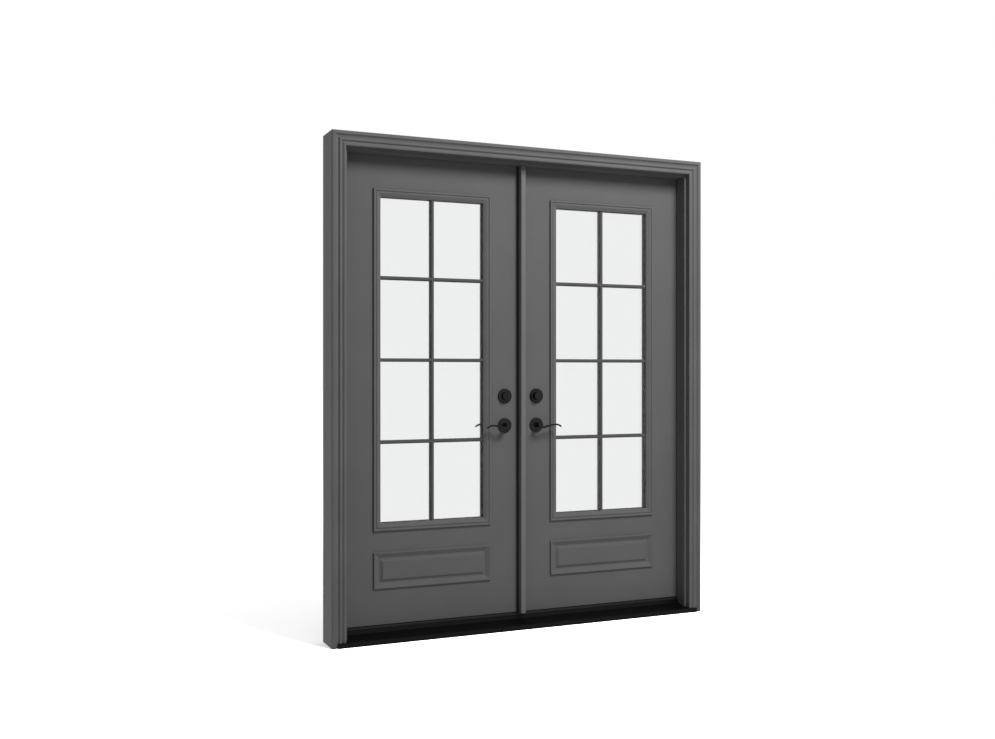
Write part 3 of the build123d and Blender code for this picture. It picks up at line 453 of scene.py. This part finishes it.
leaf_finish = {
    "outer_skin": skin_paint, "inner_skin": skin_paint, "core": core_foam,
    "hinge_stile": upright_paint, "lock_stile": upright_paint, "rails": level_paint,
    "outer_lite_frame": lite_paint, "inner_lite_frame": lite_paint, "grilles": bar_shaded_paint,
    "panes": glass, "spacer": spacer_metal, "sweep": seal_rubber,
    "hinge_plates": hinge_metal, "screws": hinge_metal, "roses": handle_metal, "levers": handle_metal,
}
for side in ("left_", "right_"):
    solid_finish.update({side + name: material for name, material in leaf_finish.items()})
for name, material in solid_finish.items():
    for material_slot in nodes[name].material_slots:
        material_slot.material = material
print("dressed", len(solid_finish), "of", len(nodes), "left over", sorted(set(nodes) - set(solid_finish)))


# %% [markdown]
# ## Moulded casing
#
# The casing is a milled board, mitred at the top corners. Its section has a broad flat at the outer
# edge, a hollow, a round bead, a narrow quirk and a shallow swell towards the leaves. A cutter runs
# this one section along the whole board, and so the surface here is the section carried along a
# straight path, with each end on the mitre. The upright boards are also cut over the sill: the outer
# foot reaches the floor, and the inner one stands on the sill's slope.

# %% Casing section
def arc(start, through, end, steps=7):
    """Points along the circle through three points, from the first to the last.

    The centre is as far from each of the three, and the points are centre + radius (cos a, sin a)."""
    (ax, ay), (bx, by), (cx, cy) = start, through, end
    d = 2 * (ax * (by - cy) + bx * (cy - ay) + cx * (ay - by))
    a2, b2, c2 = ax * ax + ay * ay, bx * bx + by * by, cx * cx + cy * cy
    ux = (a2 * (by - cy) + b2 * (cy - ay) + c2 * (ay - by)) / d
    uy = (a2 * (cx - bx) + b2 * (ax - cx) + c2 * (bx - ax)) / d
    first, middle, last = (math.atan2(y - uy, x - ux) for x, y in (start, through, end))
    middle = first + (middle - first + math.pi) % (2 * math.pi) - math.pi
    last = middle + (last - middle + math.pi) % (2 * math.pi) - math.pi
    angle = np.linspace(first, last, steps)
    radius = math.hypot(ax - ux, ay - uy)
    return list(zip(ux + radius * np.cos(angle), uy + radius * np.sin(angle)))


def casing_face():
    """Front of the casing from its outer to its inner edge: distance inwards and height from the jamb.

    Distances are shares of the width, and heights are the full thickness less a few millimetres."""
    w, t = casing_width, casing_back - casing_front
    return [
        *arc((0, t - 2.2), (0.65, t - 0.65), (2.2, t), 5), (w * 0.22, t),
        *arc((w * 0.23, t), (w * 0.31, t - 5.4), (w * 0.46, t - 7.6), 9),
        *arc((w * 0.48, t - 7.2), (w * 0.57, t - 2.4), (w * 0.67, t - 6.6), 11),
        *arc((w * 0.69, t - 8.0), (w * 0.73, t - 8.8), (w * 0.77, t - 7.8), 5),
        *arc((w * 0.79, t - 7.2), (w * 0.88, t - 4.2), (w - 2.0, t - 5.4), 9),
        *arc((w - 1.8, t - 5.5), (w - 0.4, t - 6.4), (w, t - 8.0), 5),
    ]


front_face = np.array(casing_face())
print("casing section", len(front_face), "points", casing_width, "wide and", front_face[:, 1].max(), "thick")


# %% [markdown]
# ### The three boards
#
# A board could be a long box with its ends cut off. Here each end row of the grid is placed on the
# mitre or on the sill's slope from the start, so nothing has to be cut. The right board is the left
# one with every x turned to the other side.

# %% Casing boards
sill_low, sill_high = extent("sill_deck")
SILL_NOSE, SILL_EDGE, SILL_SLOPE = 20.0, 3.0, 5.0 / 64.0
FOOT_RISE = 12.0


def sill_top(y):
    """Height of the sill's cover: its nose, and from one edge radius behind the front its slope."""
    return sill_low[2] + SILL_NOSE + (y - sill_low[1] - SILL_EDGE) * SILL_SLOPE


def upright_board():
    """Sheets of the left board: x = outer edge + u, y = jamb face - h, z from the foot to top - u.

    The board is whole above the sill. Below that it is two feet, with the sill's end between them."""
    step = half_width - sill_high[0]
    u = front_face[:, 0]
    split = float(np.interp(step, *front_face.T))
    outer = np.vstack([[[step, 0], [0, 0]], front_face[u < step], [[step, split]]])
    inner = np.vstack([[[step, split]], front_face[u > step], [[casing_width, 0], [step, 0]]])
    whole = np.vstack([outer, inner[1:-1]])
    wall = outer[[0, -1]]
    level = sill_low[2] + SILL_NOSE + FOOT_RISE

    def rows(points, *heights):
        x, y = points[:, 0] - half_width, casing_back - points[:, 1]
        return np.stack([np.stack([x, y, np.broadcast_to(z, x.shape)], axis=1) for z in heights])

    def slope(points):
        return sill_top(casing_back - points[:, 1])

    return [
        (rows(whole, level, overall_height - whole[:, 0]), False, True, "last"),
        (rows(outer, 0.0, level), False, False, "first"),
        (rows(inner, slope(inner), level), False, False, "first"),
        (rows(wall, 0.0, slope(wall)), False, False, None),
    ]


def head_board():
    """Sheet of the head board: z = top - u, y = jamb face - h, and each end at x = half width - u."""
    u, h = np.vstack([front_face, [[casing_width, 0], [0, 0]]]).T
    y, z = casing_back - h, overall_height - u
    ends = [np.stack([side * (half_width - u), y, z], axis=1) for side in (-1, 1)]
    return [(np.stack(ends), False, True, "both")]


def mirrored(sheets):
    """The same sheets in the other half of the door: every x changes its sign."""
    return [(grid * np.array([-1.0, 1.0, 1.0]), *rest) for grid, *rest in sheets]


left_board = upright_board()
make_piece("left_casing_board", left_board, upright_paint, "frame", ["left_casing"])
make_piece("right_casing_board", mirrored(left_board), upright_paint, "frame", ["right_casing"])
make_piece("head_casing_board", head_board(), level_paint, "frame", ["head_casing"])


# %% [markdown]
# ## Pressed door skins
#
# Each face of a leaf is one thin skin. A mould presses the raised panel into it below the glass: a
# soft bead, a slope down into a groove, a rise and a small crisp step up to a flat field. The moulding
# is a family of nested rectangles, each lifted by the section's height at its distance inwards. A
# displaced plane could show the same, but it would need far more faces to keep the step crisp.

# %% Panel section
EASE_SHARE = 0.45
PANEL_BENDS = [(0, 0), (4, 0), (5.5, 7), (8.5, 8.8), (29.5, -2.4), (33, -2.4), (43.5, 3.4), (44.5, 5.2),
               (54, 5.2)]
PANEL_EASE = [1.6, 2.2, 3.2, 1.4, 1.6, 0.6, 0.6]


def eased(before, corner, after, radius, steps):
    """Corners B of an outline as soft curves (1-t)^2 P + 2t(1-t) B + t^2 Q.

    P and Q lie one radius before and after B, or nearly half way along a side that is shorter."""

    def towards(other):
        gap = other - corner
        length = np.linalg.norm(gap, axis=1)
        return corner + gap / length[:, None] * np.minimum(radius, EASE_SHARE * length)[:, None]

    p, q = towards(before), towards(after)
    t = np.linspace(0, 1, steps + 1)[None, :, None]
    curve = (1 - t) ** 2 * p[:, None] + 2 * t * (1 - t) * corner[:, None] + t**2 * q[:, None]
    return curve.reshape(-1, 2)


def panel_section(steps=6):
    """Pressed moulding as distance inwards and height, with every bend eased."""
    bends = np.array(PANEL_BENDS)
    curve = eased(bends[:-2], bends[1:-1], bends[2:], np.array(PANEL_EASE), steps)
    return np.vstack([bends[:1], curve, bends[-1:]])


print("panel section", len(panel_section()), "points, highest", panel_section()[:, 1].max())


# %% [markdown]
# ### The flat sheet around the panel
#
# Around the moulding the skin is flat, but it isn't a rectangle: it has an opening for the glass and
# two bores for the locks. A grid can't follow all of these, so triangles between the outlines fill the
# sheet, and those whose middle lies in a hole are left out.

# %% Filled sheet
FILL_INSIDE, FILL_TOLERANCE = 1, 1e-4


def rectangle(low, high, inset=0.0):
    """Four corners of a rectangle in x and z, moved inwards by an inset."""
    (x0, z0), (x1, z1) = np.array(low) + inset, np.array(high) - inset
    return np.array([(x0, z0), (x1, z0), (x1, z1), (x0, z1)])


def circle(x, z, radius, count=48):
    """Points of a circle in x and z: centre + radius (cos a, sin a)."""
    angle = np.arange(count) * 2 * math.pi / count
    return np.stack([x + radius * np.cos(angle), z + radius * np.sin(angle)], axis=1)


def within(points, loop):
    """Which points lie in a closed loop: those from which a ray crosses it an odd number of times."""
    x, y = points[:, :1], points[:, 1:]
    (ax, ay), (bx, by) = loop.T, np.roll(loop, -1, axis=0).T
    spans = (ay > y) != (by > y)
    meets = ax + (y - ay) * (bx - ax) / np.where(by == ay, 1.0, by - ay)
    return (spans & (x < meets)).sum(axis=1) % 2 == 1


def filled(outline, holes):
    """Triangles that fill an outline around its holes, and the points that they use."""
    corners, edges = [], []
    for loop in (outline, *holes):
        first, count = len(corners), len(loop)
        edges += [(first + i, first + (i + 1) % count) for i in range(count)]
        corners += [Vector(p) for p in loop]
    made = delaunay_2d_cdt(corners, edges, [], FILL_INSIDE, FILL_TOLERANCE)
    points, triangles = np.array([tuple(p) for p in made[0]]), np.array(made[2])
    middles = points[triangles].mean(axis=1)
    kept = ~np.any([within(middles, hole) for hole in holes], axis=0)
    return points, triangles[kept].tolist()


square_ring = filled(rectangle((0, 0), (4, 4)), [rectangle((1, 1), (3, 3))])
print("a square with a square hole takes", len(square_ring[1]), "triangles")


# %% [markdown]
# ### One skin for each face
#
# The flat sheet, the turned-back edge and the moulding share their outlines, so welding joins them
# into one surface. Solidify then adds the sheet's 2 mm behind the face, which leaves the face itself
# where it was worked out.

# %% Skins
PANEL_DROP, PANEL_HEIGHT, PANEL_LANDING = 87.5, 156.5, 4.0
SKIN_LAP, BORE = 14.5, 27.0
SKIN_EDGE = [(0.0, -1.0), (0.3, -0.3), (1.0, 0.0), (3.0, 0.0)]
lock_x, lever_z, deadbolt_z = -77.5, 887.0, 1017.0


def nested(low, high, path, first):
    """Rectangles moved inwards along a path, as points with their heights, and the faces between them."""
    rows = [np.column_stack([rectangle(low, high, u), np.full(4, h)]) for u, h in path]
    return np.vstack(rows), grid_faces(len(rows), 4, False, True, first).tolist()


def skin(side, node, out):
    """Pressed skin of one leaf face; out is -1 for the outside and 1 for the inside."""
    low, high = front_extent(node)
    lite = front_extent(side + "_outer_lite_frame")
    panel_top = lite[0][1] - PANEL_DROP
    panel_low = np.array([lite[0][0], panel_top - PANEL_HEIGHT]) - PANEL_LANDING
    panel_high = np.array([lite[1][0], panel_top]) + PANEL_LANDING
    x = lock_x if side == "left" else -lock_x
    bores = [circle(x, lever_z, BORE), circle(x, deadbolt_z, BORE)]
    holes = [rectangle(*lite, SKIN_LAP), rectangle(panel_low, panel_high), *bores]
    flat, faces = filled(rectangle(low, high, SKIN_EDGE[-1][0]), holes)
    points = [np.column_stack([flat, np.zeros(len(flat))])]
    for corners, path in (((low, high), SKIN_EDGE), ((panel_low, panel_high), panel_section())):
        more, joined = nested(*corners, path, sum(map(len, points)))
        points.append(more)
        faces += joined
    last = sum(map(len, points))
    faces.append(list(range(last - 4, last)))
    x, z, h = np.vstack(points).T
    face_y = leaf_outer if out < 0 else leaf_inner
    mesh = make_mesh(node + "_pressed", np.column_stack([x, face_y + out * h, z]), faces, facing=out)
    piece = finish_piece(node + "_pressed", mesh, skin_paint, side + "_leaf", [node])
    sheet = piece.modifiers.new("thickness", "SOLIDIFY")
    sheet.thickness, sheet.offset, sheet.use_even_offset = SKIN * MM, -1.0, True


for side in ("left", "right"):
    skin(side, side + "_outer_skin", -1)
    skin(side, side + "_inner_skin", 1)


# %% [markdown]
# ## Glazing frames
#
# A moulded frame on each face of the leaf holds the sealed glass. Its section rises in a round bead at
# the outer edge, dips, rises again and slopes down to the glass, so it catches two lines of light. It
# is carried round the opening with mitred corners, which is one closed grid and leaves no joint.

# %% Glazing frames
LITE_BORDER, GLASS_DEPTH, LITE_LEG = 33.5, 9.75, 14.8
LITE_CREST, LITE_FOOT, LITE_LIP = (18.2, 6.6), (LITE_BORDER - 0.6, -1.7), -2.4


def lite_section():
    """Glazing frame's section: distance inwards from its outer edge and height above the skin."""
    beads = [
        (0.0, 0.0), *arc((0.0, 4.2), (1.3, 7.7), (4.6, 9.0), 6), *arc((5.2, 9.0), (7.7, 8.0), (9.2, 5.6), 5),
        *arc((9.8, 4.8), (11.3, 4.2), (12.8, 4.8), 5), *arc((14.4, 6.4), (16.2, 7.1), LITE_CREST, 6),
    ]
    t = np.linspace(0, 1, 5)[1:, None]
    slope = np.array(LITE_CREST) * (1 - t) + np.array(LITE_FOOT) * t
    back = [(LITE_BORDER, LITE_LIP), (LITE_BORDER, -GLASS_DEPTH), (LITE_LEG, -GLASS_DEPTH), (LITE_LEG, 0.0)]
    return np.vstack([beads, slope, back])


def mitred(section, low, high, face_y, out):
    """Closed section carried round a rectangle: each corner moves inwards by u and outwards by h.

    Point (i, j) is corner j of the rectangle moved inwards by section point i's u, at height h."""
    u, h = np.asarray(section, float).T
    x = np.stack([low[0] + u, high[0] - u, high[0] - u, low[0] + u], axis=1)
    z = np.stack([low[1] + u, low[1] + u, high[1] - u, high[1] - u], axis=1)
    y = np.broadcast_to(face_y + out * h[:, None], x.shape)
    return np.stack([x, y, z], axis=2), True, True, None


for side in ("left", "right"):
    low, high = front_extent(side + "_outer_lite_frame")
    ring = mitred(lite_section(), low, high, leaf_outer, -1)
    make_piece(side + "_outer_glazing_frame", [ring], lite_paint, side + "_leaf",
               [side + "_outer_lite_frame"])


# %% [markdown]
# ## Glazing bars
#
# The bars lie on both faces of the glass: one upright and three level rows. Each has a low arched
# section, flat where it meets the glass. The section is carried straight along, and the short bars end
# inside the upright one, so no joint has to be cut.

# %% Glazing bars
BAR_WIDTH, BAR_HEIGHT, BAR_ROWS, BAR_END = 15.0, 5.0, 3, 1.0


def bar_section(steps=15):
    """Low arch: height = full height times (1 - |x|^2.6)^(1/1.6), over the width, with a flat back."""
    x = np.linspace(-1, 1, steps)
    arch = BAR_HEIGHT * (1 - np.abs(x) ** 2.6) ** (1 / 1.6)
    return np.stack([x * BAR_WIDTH / 2, np.maximum(arch, 0.0)], axis=1)


def along_z(outline, z0, z1):
    """Closed outline in x and y carried straight up, with both ends closed."""
    x, y = np.asarray(outline, float).T
    rows = [np.stack([x, y, np.full(len(x), z)], axis=1) for z in (z0, z1)]
    return np.stack(rows), False, True, "both"


def along_x(outline, x0, x1):
    """Closed outline in y and z carried along x, with both ends closed."""
    y, z = np.asarray(outline, float).T
    rows = [np.stack([np.full(len(y), x), y, z], axis=1) for x in (x0, x1)]
    return np.stack(rows), False, True, "both"


for side in ("left", "right"):
    low, high = extent(side + "_grilles")
    middle = (low[0] + high[0]) / 2
    pitch = (high[2] - low[2] + BAR_WIDTH) / (BAR_ROWS + 1)
    across, height = bar_section().T
    sheets = []
    for face_y, out in ((low[1] + BAR_HEIGHT, -1), (high[1] - BAR_HEIGHT, 1)):
        y = face_y + out * height
        sheets.append(along_z(np.stack([middle + across, y], axis=1), low[2], high[2]))
        for row in range(BAR_ROWS):
            z = (low[2] + high[2]) / 2 + pitch * (row - (BAR_ROWS - 1) / 2)
            level = np.stack([y, z + across], axis=1)
            sheets.append(along_x(level, low[0], middle - BAR_END))
            sheets.append(along_x(level, middle + BAR_END, high[0]))
    make_piece(side + "_glazing_bars", sheets, bar_shaded_paint, side + "_leaf", [side + "_grilles"])


# %% [markdown]
# ## Roses and lock cylinders
#
# Roses and cylinders are turned parts: a profile of radius and reach, swept round an axis along y. The
# rose is a shallow dome with a crisp rim. Each profile runs back down its hole, so the spindle or the
# key plug passes through a real opening.

# %% Turned hardware
ROSE, ROSE_HIGH = 32.5, 9.0
CYLINDER, CYLINDER_HIGH = 17.0, 24.0
LEVER_HOLE, TURN_HOLE, PLUG_HOLE = 9.5, 7.5, 7.0


def turned(outline, x, z, face_y, out, steps=64):
    """Sheet turned about an axis along y: outline holds radius and distance from the face.

    Point (i, j) sits at angle j round the axis: x + r cos, face + out times distance, z + r sin."""
    radius, reach = np.asarray(outline, float).T[:, :, None]
    angle = np.arange(steps)[None, :] * 2 * math.pi / steps
    y = face_y + out * reach + 0 * angle
    grid = np.stack([x + radius * np.cos(angle), y, z + radius * np.sin(angle)], axis=2)
    return grid, False, True, None


def rose_face(hole):
    """Outline of a rose: rim, soft shoulder and shallow dome down to its hole."""
    return [
        (ROSE, 0.0), *arc((ROSE, 2.6), (ROSE - 0.6, 4.6), (ROSE - 2.2, 6.0), 5),
        *arc((ROSE - 3.2, 6.4), (ROSE - 14.0, ROSE_HIGH - 0.35), (hole + 1.0, ROSE_HIGH), 9),
        (hole, ROSE_HIGH - 0.6), (hole, 0.0),
    ]


def guard_face():
    """Outline of the key cylinder's guard: a rose's dome, a flared foot, a bevelled end and the hole."""
    r, base, top = CYLINDER, ROSE_HIGH, CYLINDER_HIGH
    return [
        *rose_face(r + 3)[:-3], *arc((r + 3.4, base - 0.2), (r + 1.9, base + 0.6), (r + 1.4, base + 2.2), 5),
        (r, top - 2.0), *arc((r - 0.2, top - 1.2), (r - 0.8, top - 0.3), (r - 2.0, top), 5),
        (PLUG_HOLE, top), (PLUG_HOLE, 0.0),
    ]


both_faces = ((leaf_outer, -1), (leaf_inner, 1))
for side, x in (("left", lock_x), ("right", -lock_x)):
    roses = [turned(rose_face(LEVER_HOLE), x, lever_z, face_y, out) for face_y, out in both_faces]
    make_piece(side + "_rose_plates", roses, handle_metal, side + "_leaf", [side + "_roses"])
guard = turned(guard_face(), lock_x, deadbolt_z, leaf_outer, -1)
make_piece("left_cylinder_guard", [guard], handle_metal, "left_leaf", ["left_deadbolt_housing"])
plate = turned(rose_face(TURN_HOLE), lock_x, deadbolt_z, leaf_inner, 1)
make_piece("left_turn_plate", [plate], handle_metal, "left_leaf", ["left_thumbturn_plate"])


# %% [markdown]
# ## Levers
#
# The lever is cast: a round neck and hub, and a flat arm that dips and rises in a slow wave. The arm's
# surface is a rounded section carried along the wave, which shrinks to a soft tip. Joined cylinders
# would show every joint, while one section along one smooth line has none.

# %% Levers
NECK, HUB, STAND, ARM = 9.0, 11.0, 40.0, 13.0
NECK_ROOT, TIP, TAPER, ARM_STEPS, HUB_STEPS = 4.0, 5.0, 2.0, 28, 48
LEVER_ANGLE = 40
wave = np.array([
    (0, 0, 6.5), (15, -9, 5.6), (31, -5, 4.9), (54, 0, 4.4), (76, 2.5, 4.1), (92, -1, 3.8), (104, -9, 3.2),
])


def smooth_line(points, steps=8):
    """Catmull-Rom curve through the points, whole rows at a time.

    Between B and C, with neighbours A and D, it is the cubic with the slopes (C-A)/2 at B and (D-B)/2
    at C."""
    padded = np.vstack([2 * points[0] - points[1], points, 2 * points[-1] - points[-2]])
    a, b, c, d = (padded[i:len(padded) - 3 + i, None] for i in range(4))
    t = np.linspace(0, 1, steps, endpoint=False)[None, :, None]
    bend, twist = 2 * a - 5 * b + 4 * c - d, 3 * b - a - 3 * c + d
    curve = 0.5 * (2 * b + (c - a) * t + bend * t**2 + twist * t**3)
    return np.vstack([curve.reshape(-1, points.shape[1]), points[-1:]])


def lever_neck():
    """Outline of the neck and hub, from the spindle's axis out to the hub's rounded end."""
    top = STAND + ARM
    throat = arc((NECK, STAND - 3), (NECK + 0.6, STAND - 1), (HUB, STAND), 4)
    end = arc((HUB - 0.2, top - 2.6), (HUB - 1.2, top - 0.8), (HUB - 3.5, top), 5)
    return [(0.0, -NECK_ROOT), (NECK, -NECK_ROOT), *throat, (HUB, top - 3.5), *end, (0.0, top)]


def lever_sheets(x, face_y, out, away):
    """Neck, hub and arm of one lever; away is the sign of x in which the arm points.

    The arm's point (i, j) is the centreline i plus a superellipse |cos|^0.7, |sin|^0.7 of its half
    height across the arm and half of its thickness in depth, scaled by sqrt(1 - s^2) near the tip."""
    line = smooth_line(wave)
    tangent = np.gradient(line[:, :2], axis=0)
    tangent /= np.linalg.norm(tangent, axis=1)[:, None]
    run = np.concatenate([[0], np.cumsum(np.linalg.norm(np.diff(line[:, :2], axis=0), axis=1))])
    last = np.clip((run - (run[-1] - TIP)) / TIP, 0, 1)
    shrink = np.sqrt(np.maximum(1 - last**2, 0.0))
    angle = np.arange(ARM_STEPS) * 2 * math.pi / ARM_STEPS
    high, deep = (np.sign(turn) * np.abs(turn) ** 0.7 for turn in (np.sin(angle), np.cos(angle)))
    half = (line[:, 2] * shrink)[:, None] * high
    depth = (np.linspace(ARM / 2, ARM / 2 - TAPER, len(line)) * shrink)[:, None] * deep
    dx = line[:, :1] - half * tangent[:, 1:]
    dz = line[:, 1:2] + half * tangent[:, :1]
    arm = np.stack([x + away * dx, face_y + out * (STAND + ARM / 2 + depth), lever_z + dz], axis=2)
    return [turned(lever_neck(), x, lever_z, face_y, out, HUB_STEPS), (arm, False, True, "first")]


for side, x, away in (("left", lock_x, -1), ("right", -lock_x, 1)):
    pair = lever_sheets(x, leaf_outer, -1, away) + lever_sheets(x, leaf_inner, 1, away)
    make_piece(side + "_lever_pair", pair, handle_metal, side + "_levers", [side + "_levers"],
               sharp_angle=LEVER_ANGLE)


# %% [markdown]
# ## Cover strip
#
# The cover strip closes the meeting gap from the front. It is milled, with a small quirk behind each
# front corner: one section, carried straight up. The sill's cover and the bar that the leaves close
# over keep their solids, since the shoot bolt's hole runs through them.

# %% Cover strip
COVER_EDGE, COVER_QUIRK, SEAL_STEP, STEM_SIDE = 3.0, 1.5, 8.0, 7.5
COVER_EASE = [0.4, 1, 0.7, 1.4, 2.2, 2.2, 1.4, 0.7, 1, 0.3, 0.3, 0.3]


def rounded(points, radius, steps=4):
    """Closed outline with its corners eased, each by its own radius."""
    b = np.asarray(points, float)
    return eased(np.roll(b, 1, axis=0), b, np.roll(b, -1, axis=0), np.asarray(radius, float), steps)


cover_low, cover_high = extent("astragal")
half, front, back = cover_high[0], cover_low[1], cover_high[1]
waist, chamfer, seal_y = half - COVER_QUIRK, half - COVER_EDGE, back - SEAL_STEP
nose, quirk, shoulder = (front + share * COVER_EDGE for share in (0.5, 2.0, 2.5))
cover = [
    (-half, seal_y), (-half, shoulder), (-waist, quirk), (-waist, nose), (-chamfer, front), (chamfer, front),
    (waist, nose), (waist, quirk), (half, shoulder), (half, back), (STEM_SIDE, back), (STEM_SIDE, seal_y),
]
strip = along_z(rounded(cover, COVER_EASE), cover_low[2], cover_high[2])
make_piece("astragal_cover", [strip], cover_lit_paint, "right_leaf", ["astragal"])


# %% [markdown]
# ## White floor and white room
#
# The door stands on a white floor that runs into a white background. The room around fills the shadows
# with a weak light. A bright white room would light the door too much, so it is white only where it
# is seen: directly, through glass or mirrored. The floor is likewise a brighter white to the camera
# than to the light, so that it meets the background but keeps the shadow at the door's foot.

# %% Stage
ROOM_LIGHT, ROOM_SHOWN = 0.24, 1.0
FLOOR_WHITE, FLOOR_SHOWN = 0.90, 4.4
FLOOR_REACH = 60000.0


def seen_by(tree, *kinds):
    """Output that is 1 for the named kinds of rays and 0 for all others."""
    path = tree.nodes.new("ShaderNodeLightPath")
    seen = path.outputs[kinds[0]]
    for kind in kinds[1:]:
        either = tree.nodes.new("ShaderNodeMath")
        either.operation = "MAXIMUM"
        tree.links.new(seen, either.inputs[0])
        tree.links.new(path.outputs[kind], either.inputs[1])
        seen = either.outputs[0]
    return seen


def chosen(tree, switch, when_not, when_seen, socket):
    """Set a number socket to one of two values by the switch."""
    level = tree.nodes.new("ShaderNodeMapRange")
    level.inputs["To Min"].default_value = when_not
    level.inputs["To Max"].default_value = when_seen
    tree.links.new(switch, level.inputs["Value"])
    tree.links.new(level.outputs["Result"], socket)


world = bpy.data.worlds.new("white_room")
bpy.context.scene.world = world
world.use_nodes = True
room = world.node_tree.nodes["Background"]
room.inputs["Color"].default_value = (1.0, 1.0, 1.0, 1.0)
seen = seen_by(world.node_tree, "Is Camera Ray", "Is Transmission Ray", "Is Glossy Ray")
chosen(world.node_tree, seen, ROOM_LIGHT, ROOM_SHOWN, room.inputs["Strength"])

white = bpy.data.materials.new("white_floor")
white.use_nodes = True
tree = white.node_tree
tree.nodes.remove(tree.nodes["Principled BSDF"])
matt = tree.nodes.new("ShaderNodeBsdfDiffuse")
shade = tree.nodes.new("ShaderNodeCombineColor")
for channel in ("Red", "Green", "Blue"):
    chosen(tree, seen_by(tree, "Is Camera Ray"), FLOOR_WHITE, FLOOR_SHOWN, shade.inputs[channel])
tree.links.new(shade.outputs["Color"], matt.inputs["Color"])
glow = tree.nodes.new("ShaderNodeEmission")
mix = tree.nodes.new("ShaderNodeMixShader")
tree.links.new(seen_by(tree, "Is Transmission Ray", "Is Glossy Ray"), mix.inputs["Fac"])
tree.links.new(matt.outputs["BSDF"], mix.inputs[1])
tree.links.new(glow.outputs["Emission"], mix.inputs[2])
tree.links.new(mix.outputs["Shader"], tree.nodes["Material Output"].inputs["Surface"])

floor_corners = rectangle((-FLOOR_REACH, -FLOOR_REACH), (FLOOR_REACH, FLOOR_REACH))
floor_mesh = make_mesh("floor", np.column_stack([floor_corners, np.zeros(4)]), [(0, 1, 2, 3)])
floor_mesh.materials.append(white)
floor = new_object("floor", floor_mesh)
print("floor", floor_mesh.materials[0].name, "world", world.name)

# %% [markdown]
# ## Lamps
#
# One broad lamp, high up in front and a little to the right, draws the shadow under the head and lets
# the light fade towards the foot and towards the left. A weaker one behind lights the inside faces. Both
# are discs, because a broad lamp softens a shadow's edge. Neither shows in the glass or the metal, and
# the one behind leaves the floor out, where it would draw a long shadow towards the camera.

# %% Lamps
LAMPS = {"front_lamp": (212.0, (1.2, -2.9, 4.0)), "back_lamp": (125.0, (2.0, 3.0, 3.6))}
LAMP_AIM, LAMP_SIZE = (0.1, 0.0, 1.2), 1.6
for name, (power, place) in LAMPS.items():
    lamp_data = bpy.data.lights.new(name, "AREA")
    lamp_data.energy, lamp_data.shape, lamp_data.size = power, "DISK", LAMP_SIZE
    lamp = new_object(name, lamp_data)
    lamp.location = place
    lamp.rotation_euler = (Vector(LAMP_AIM) - Vector(place)).to_track_quat("-Z", "Y").to_euler()
    lamp.visible_camera = lamp.visible_transmission = lamp.visible_glossy = False
    print("lamp", name, power, "watts")

unlit = bpy.data.collections.new("not_lit_from_behind")
unlit.objects.link(floor)
unlit.collection_objects[0].light_linking.link_state = "EXCLUDE"
bpy.data.objects["back_lamp"].light_linking.receiver_collection = unlit

# %% [markdown]
# ## Camera
#
# The photograph was taken from the front left, at about half the door's height, with a level lens. The
# camera's place, turn and focal length come from a fit to 27 corners of the frame and the leaves. Guessing
# them by eye would leave every edge a little off.

# %% Camera
CAMERA_PLACE, CAMERA_TURN = (-2.0505, -4.417, 1.1287), math.radians(23.569)
SENSOR_WIDTH, FOCAL_LENGTH, LENS_SHIFT = 36.0, 39.76, 0.00134
camera_data = bpy.data.cameras.new("camera")
camera = new_object("camera", camera_data)
camera.location = CAMERA_PLACE
camera.rotation_euler = (math.pi / 2, 0.0, -CAMERA_TURN)
camera_data.sensor_width = SENSOR_WIDTH
camera_data.lens = FOCAL_LENGTH
camera_data.shift_y = LENS_SHIFT
bpy.context.scene.camera = camera
bpy.context.scene.view_settings.view_transform = "Standard"
print("camera at", CAMERA_PLACE, "lens", FOCAL_LENGTH)
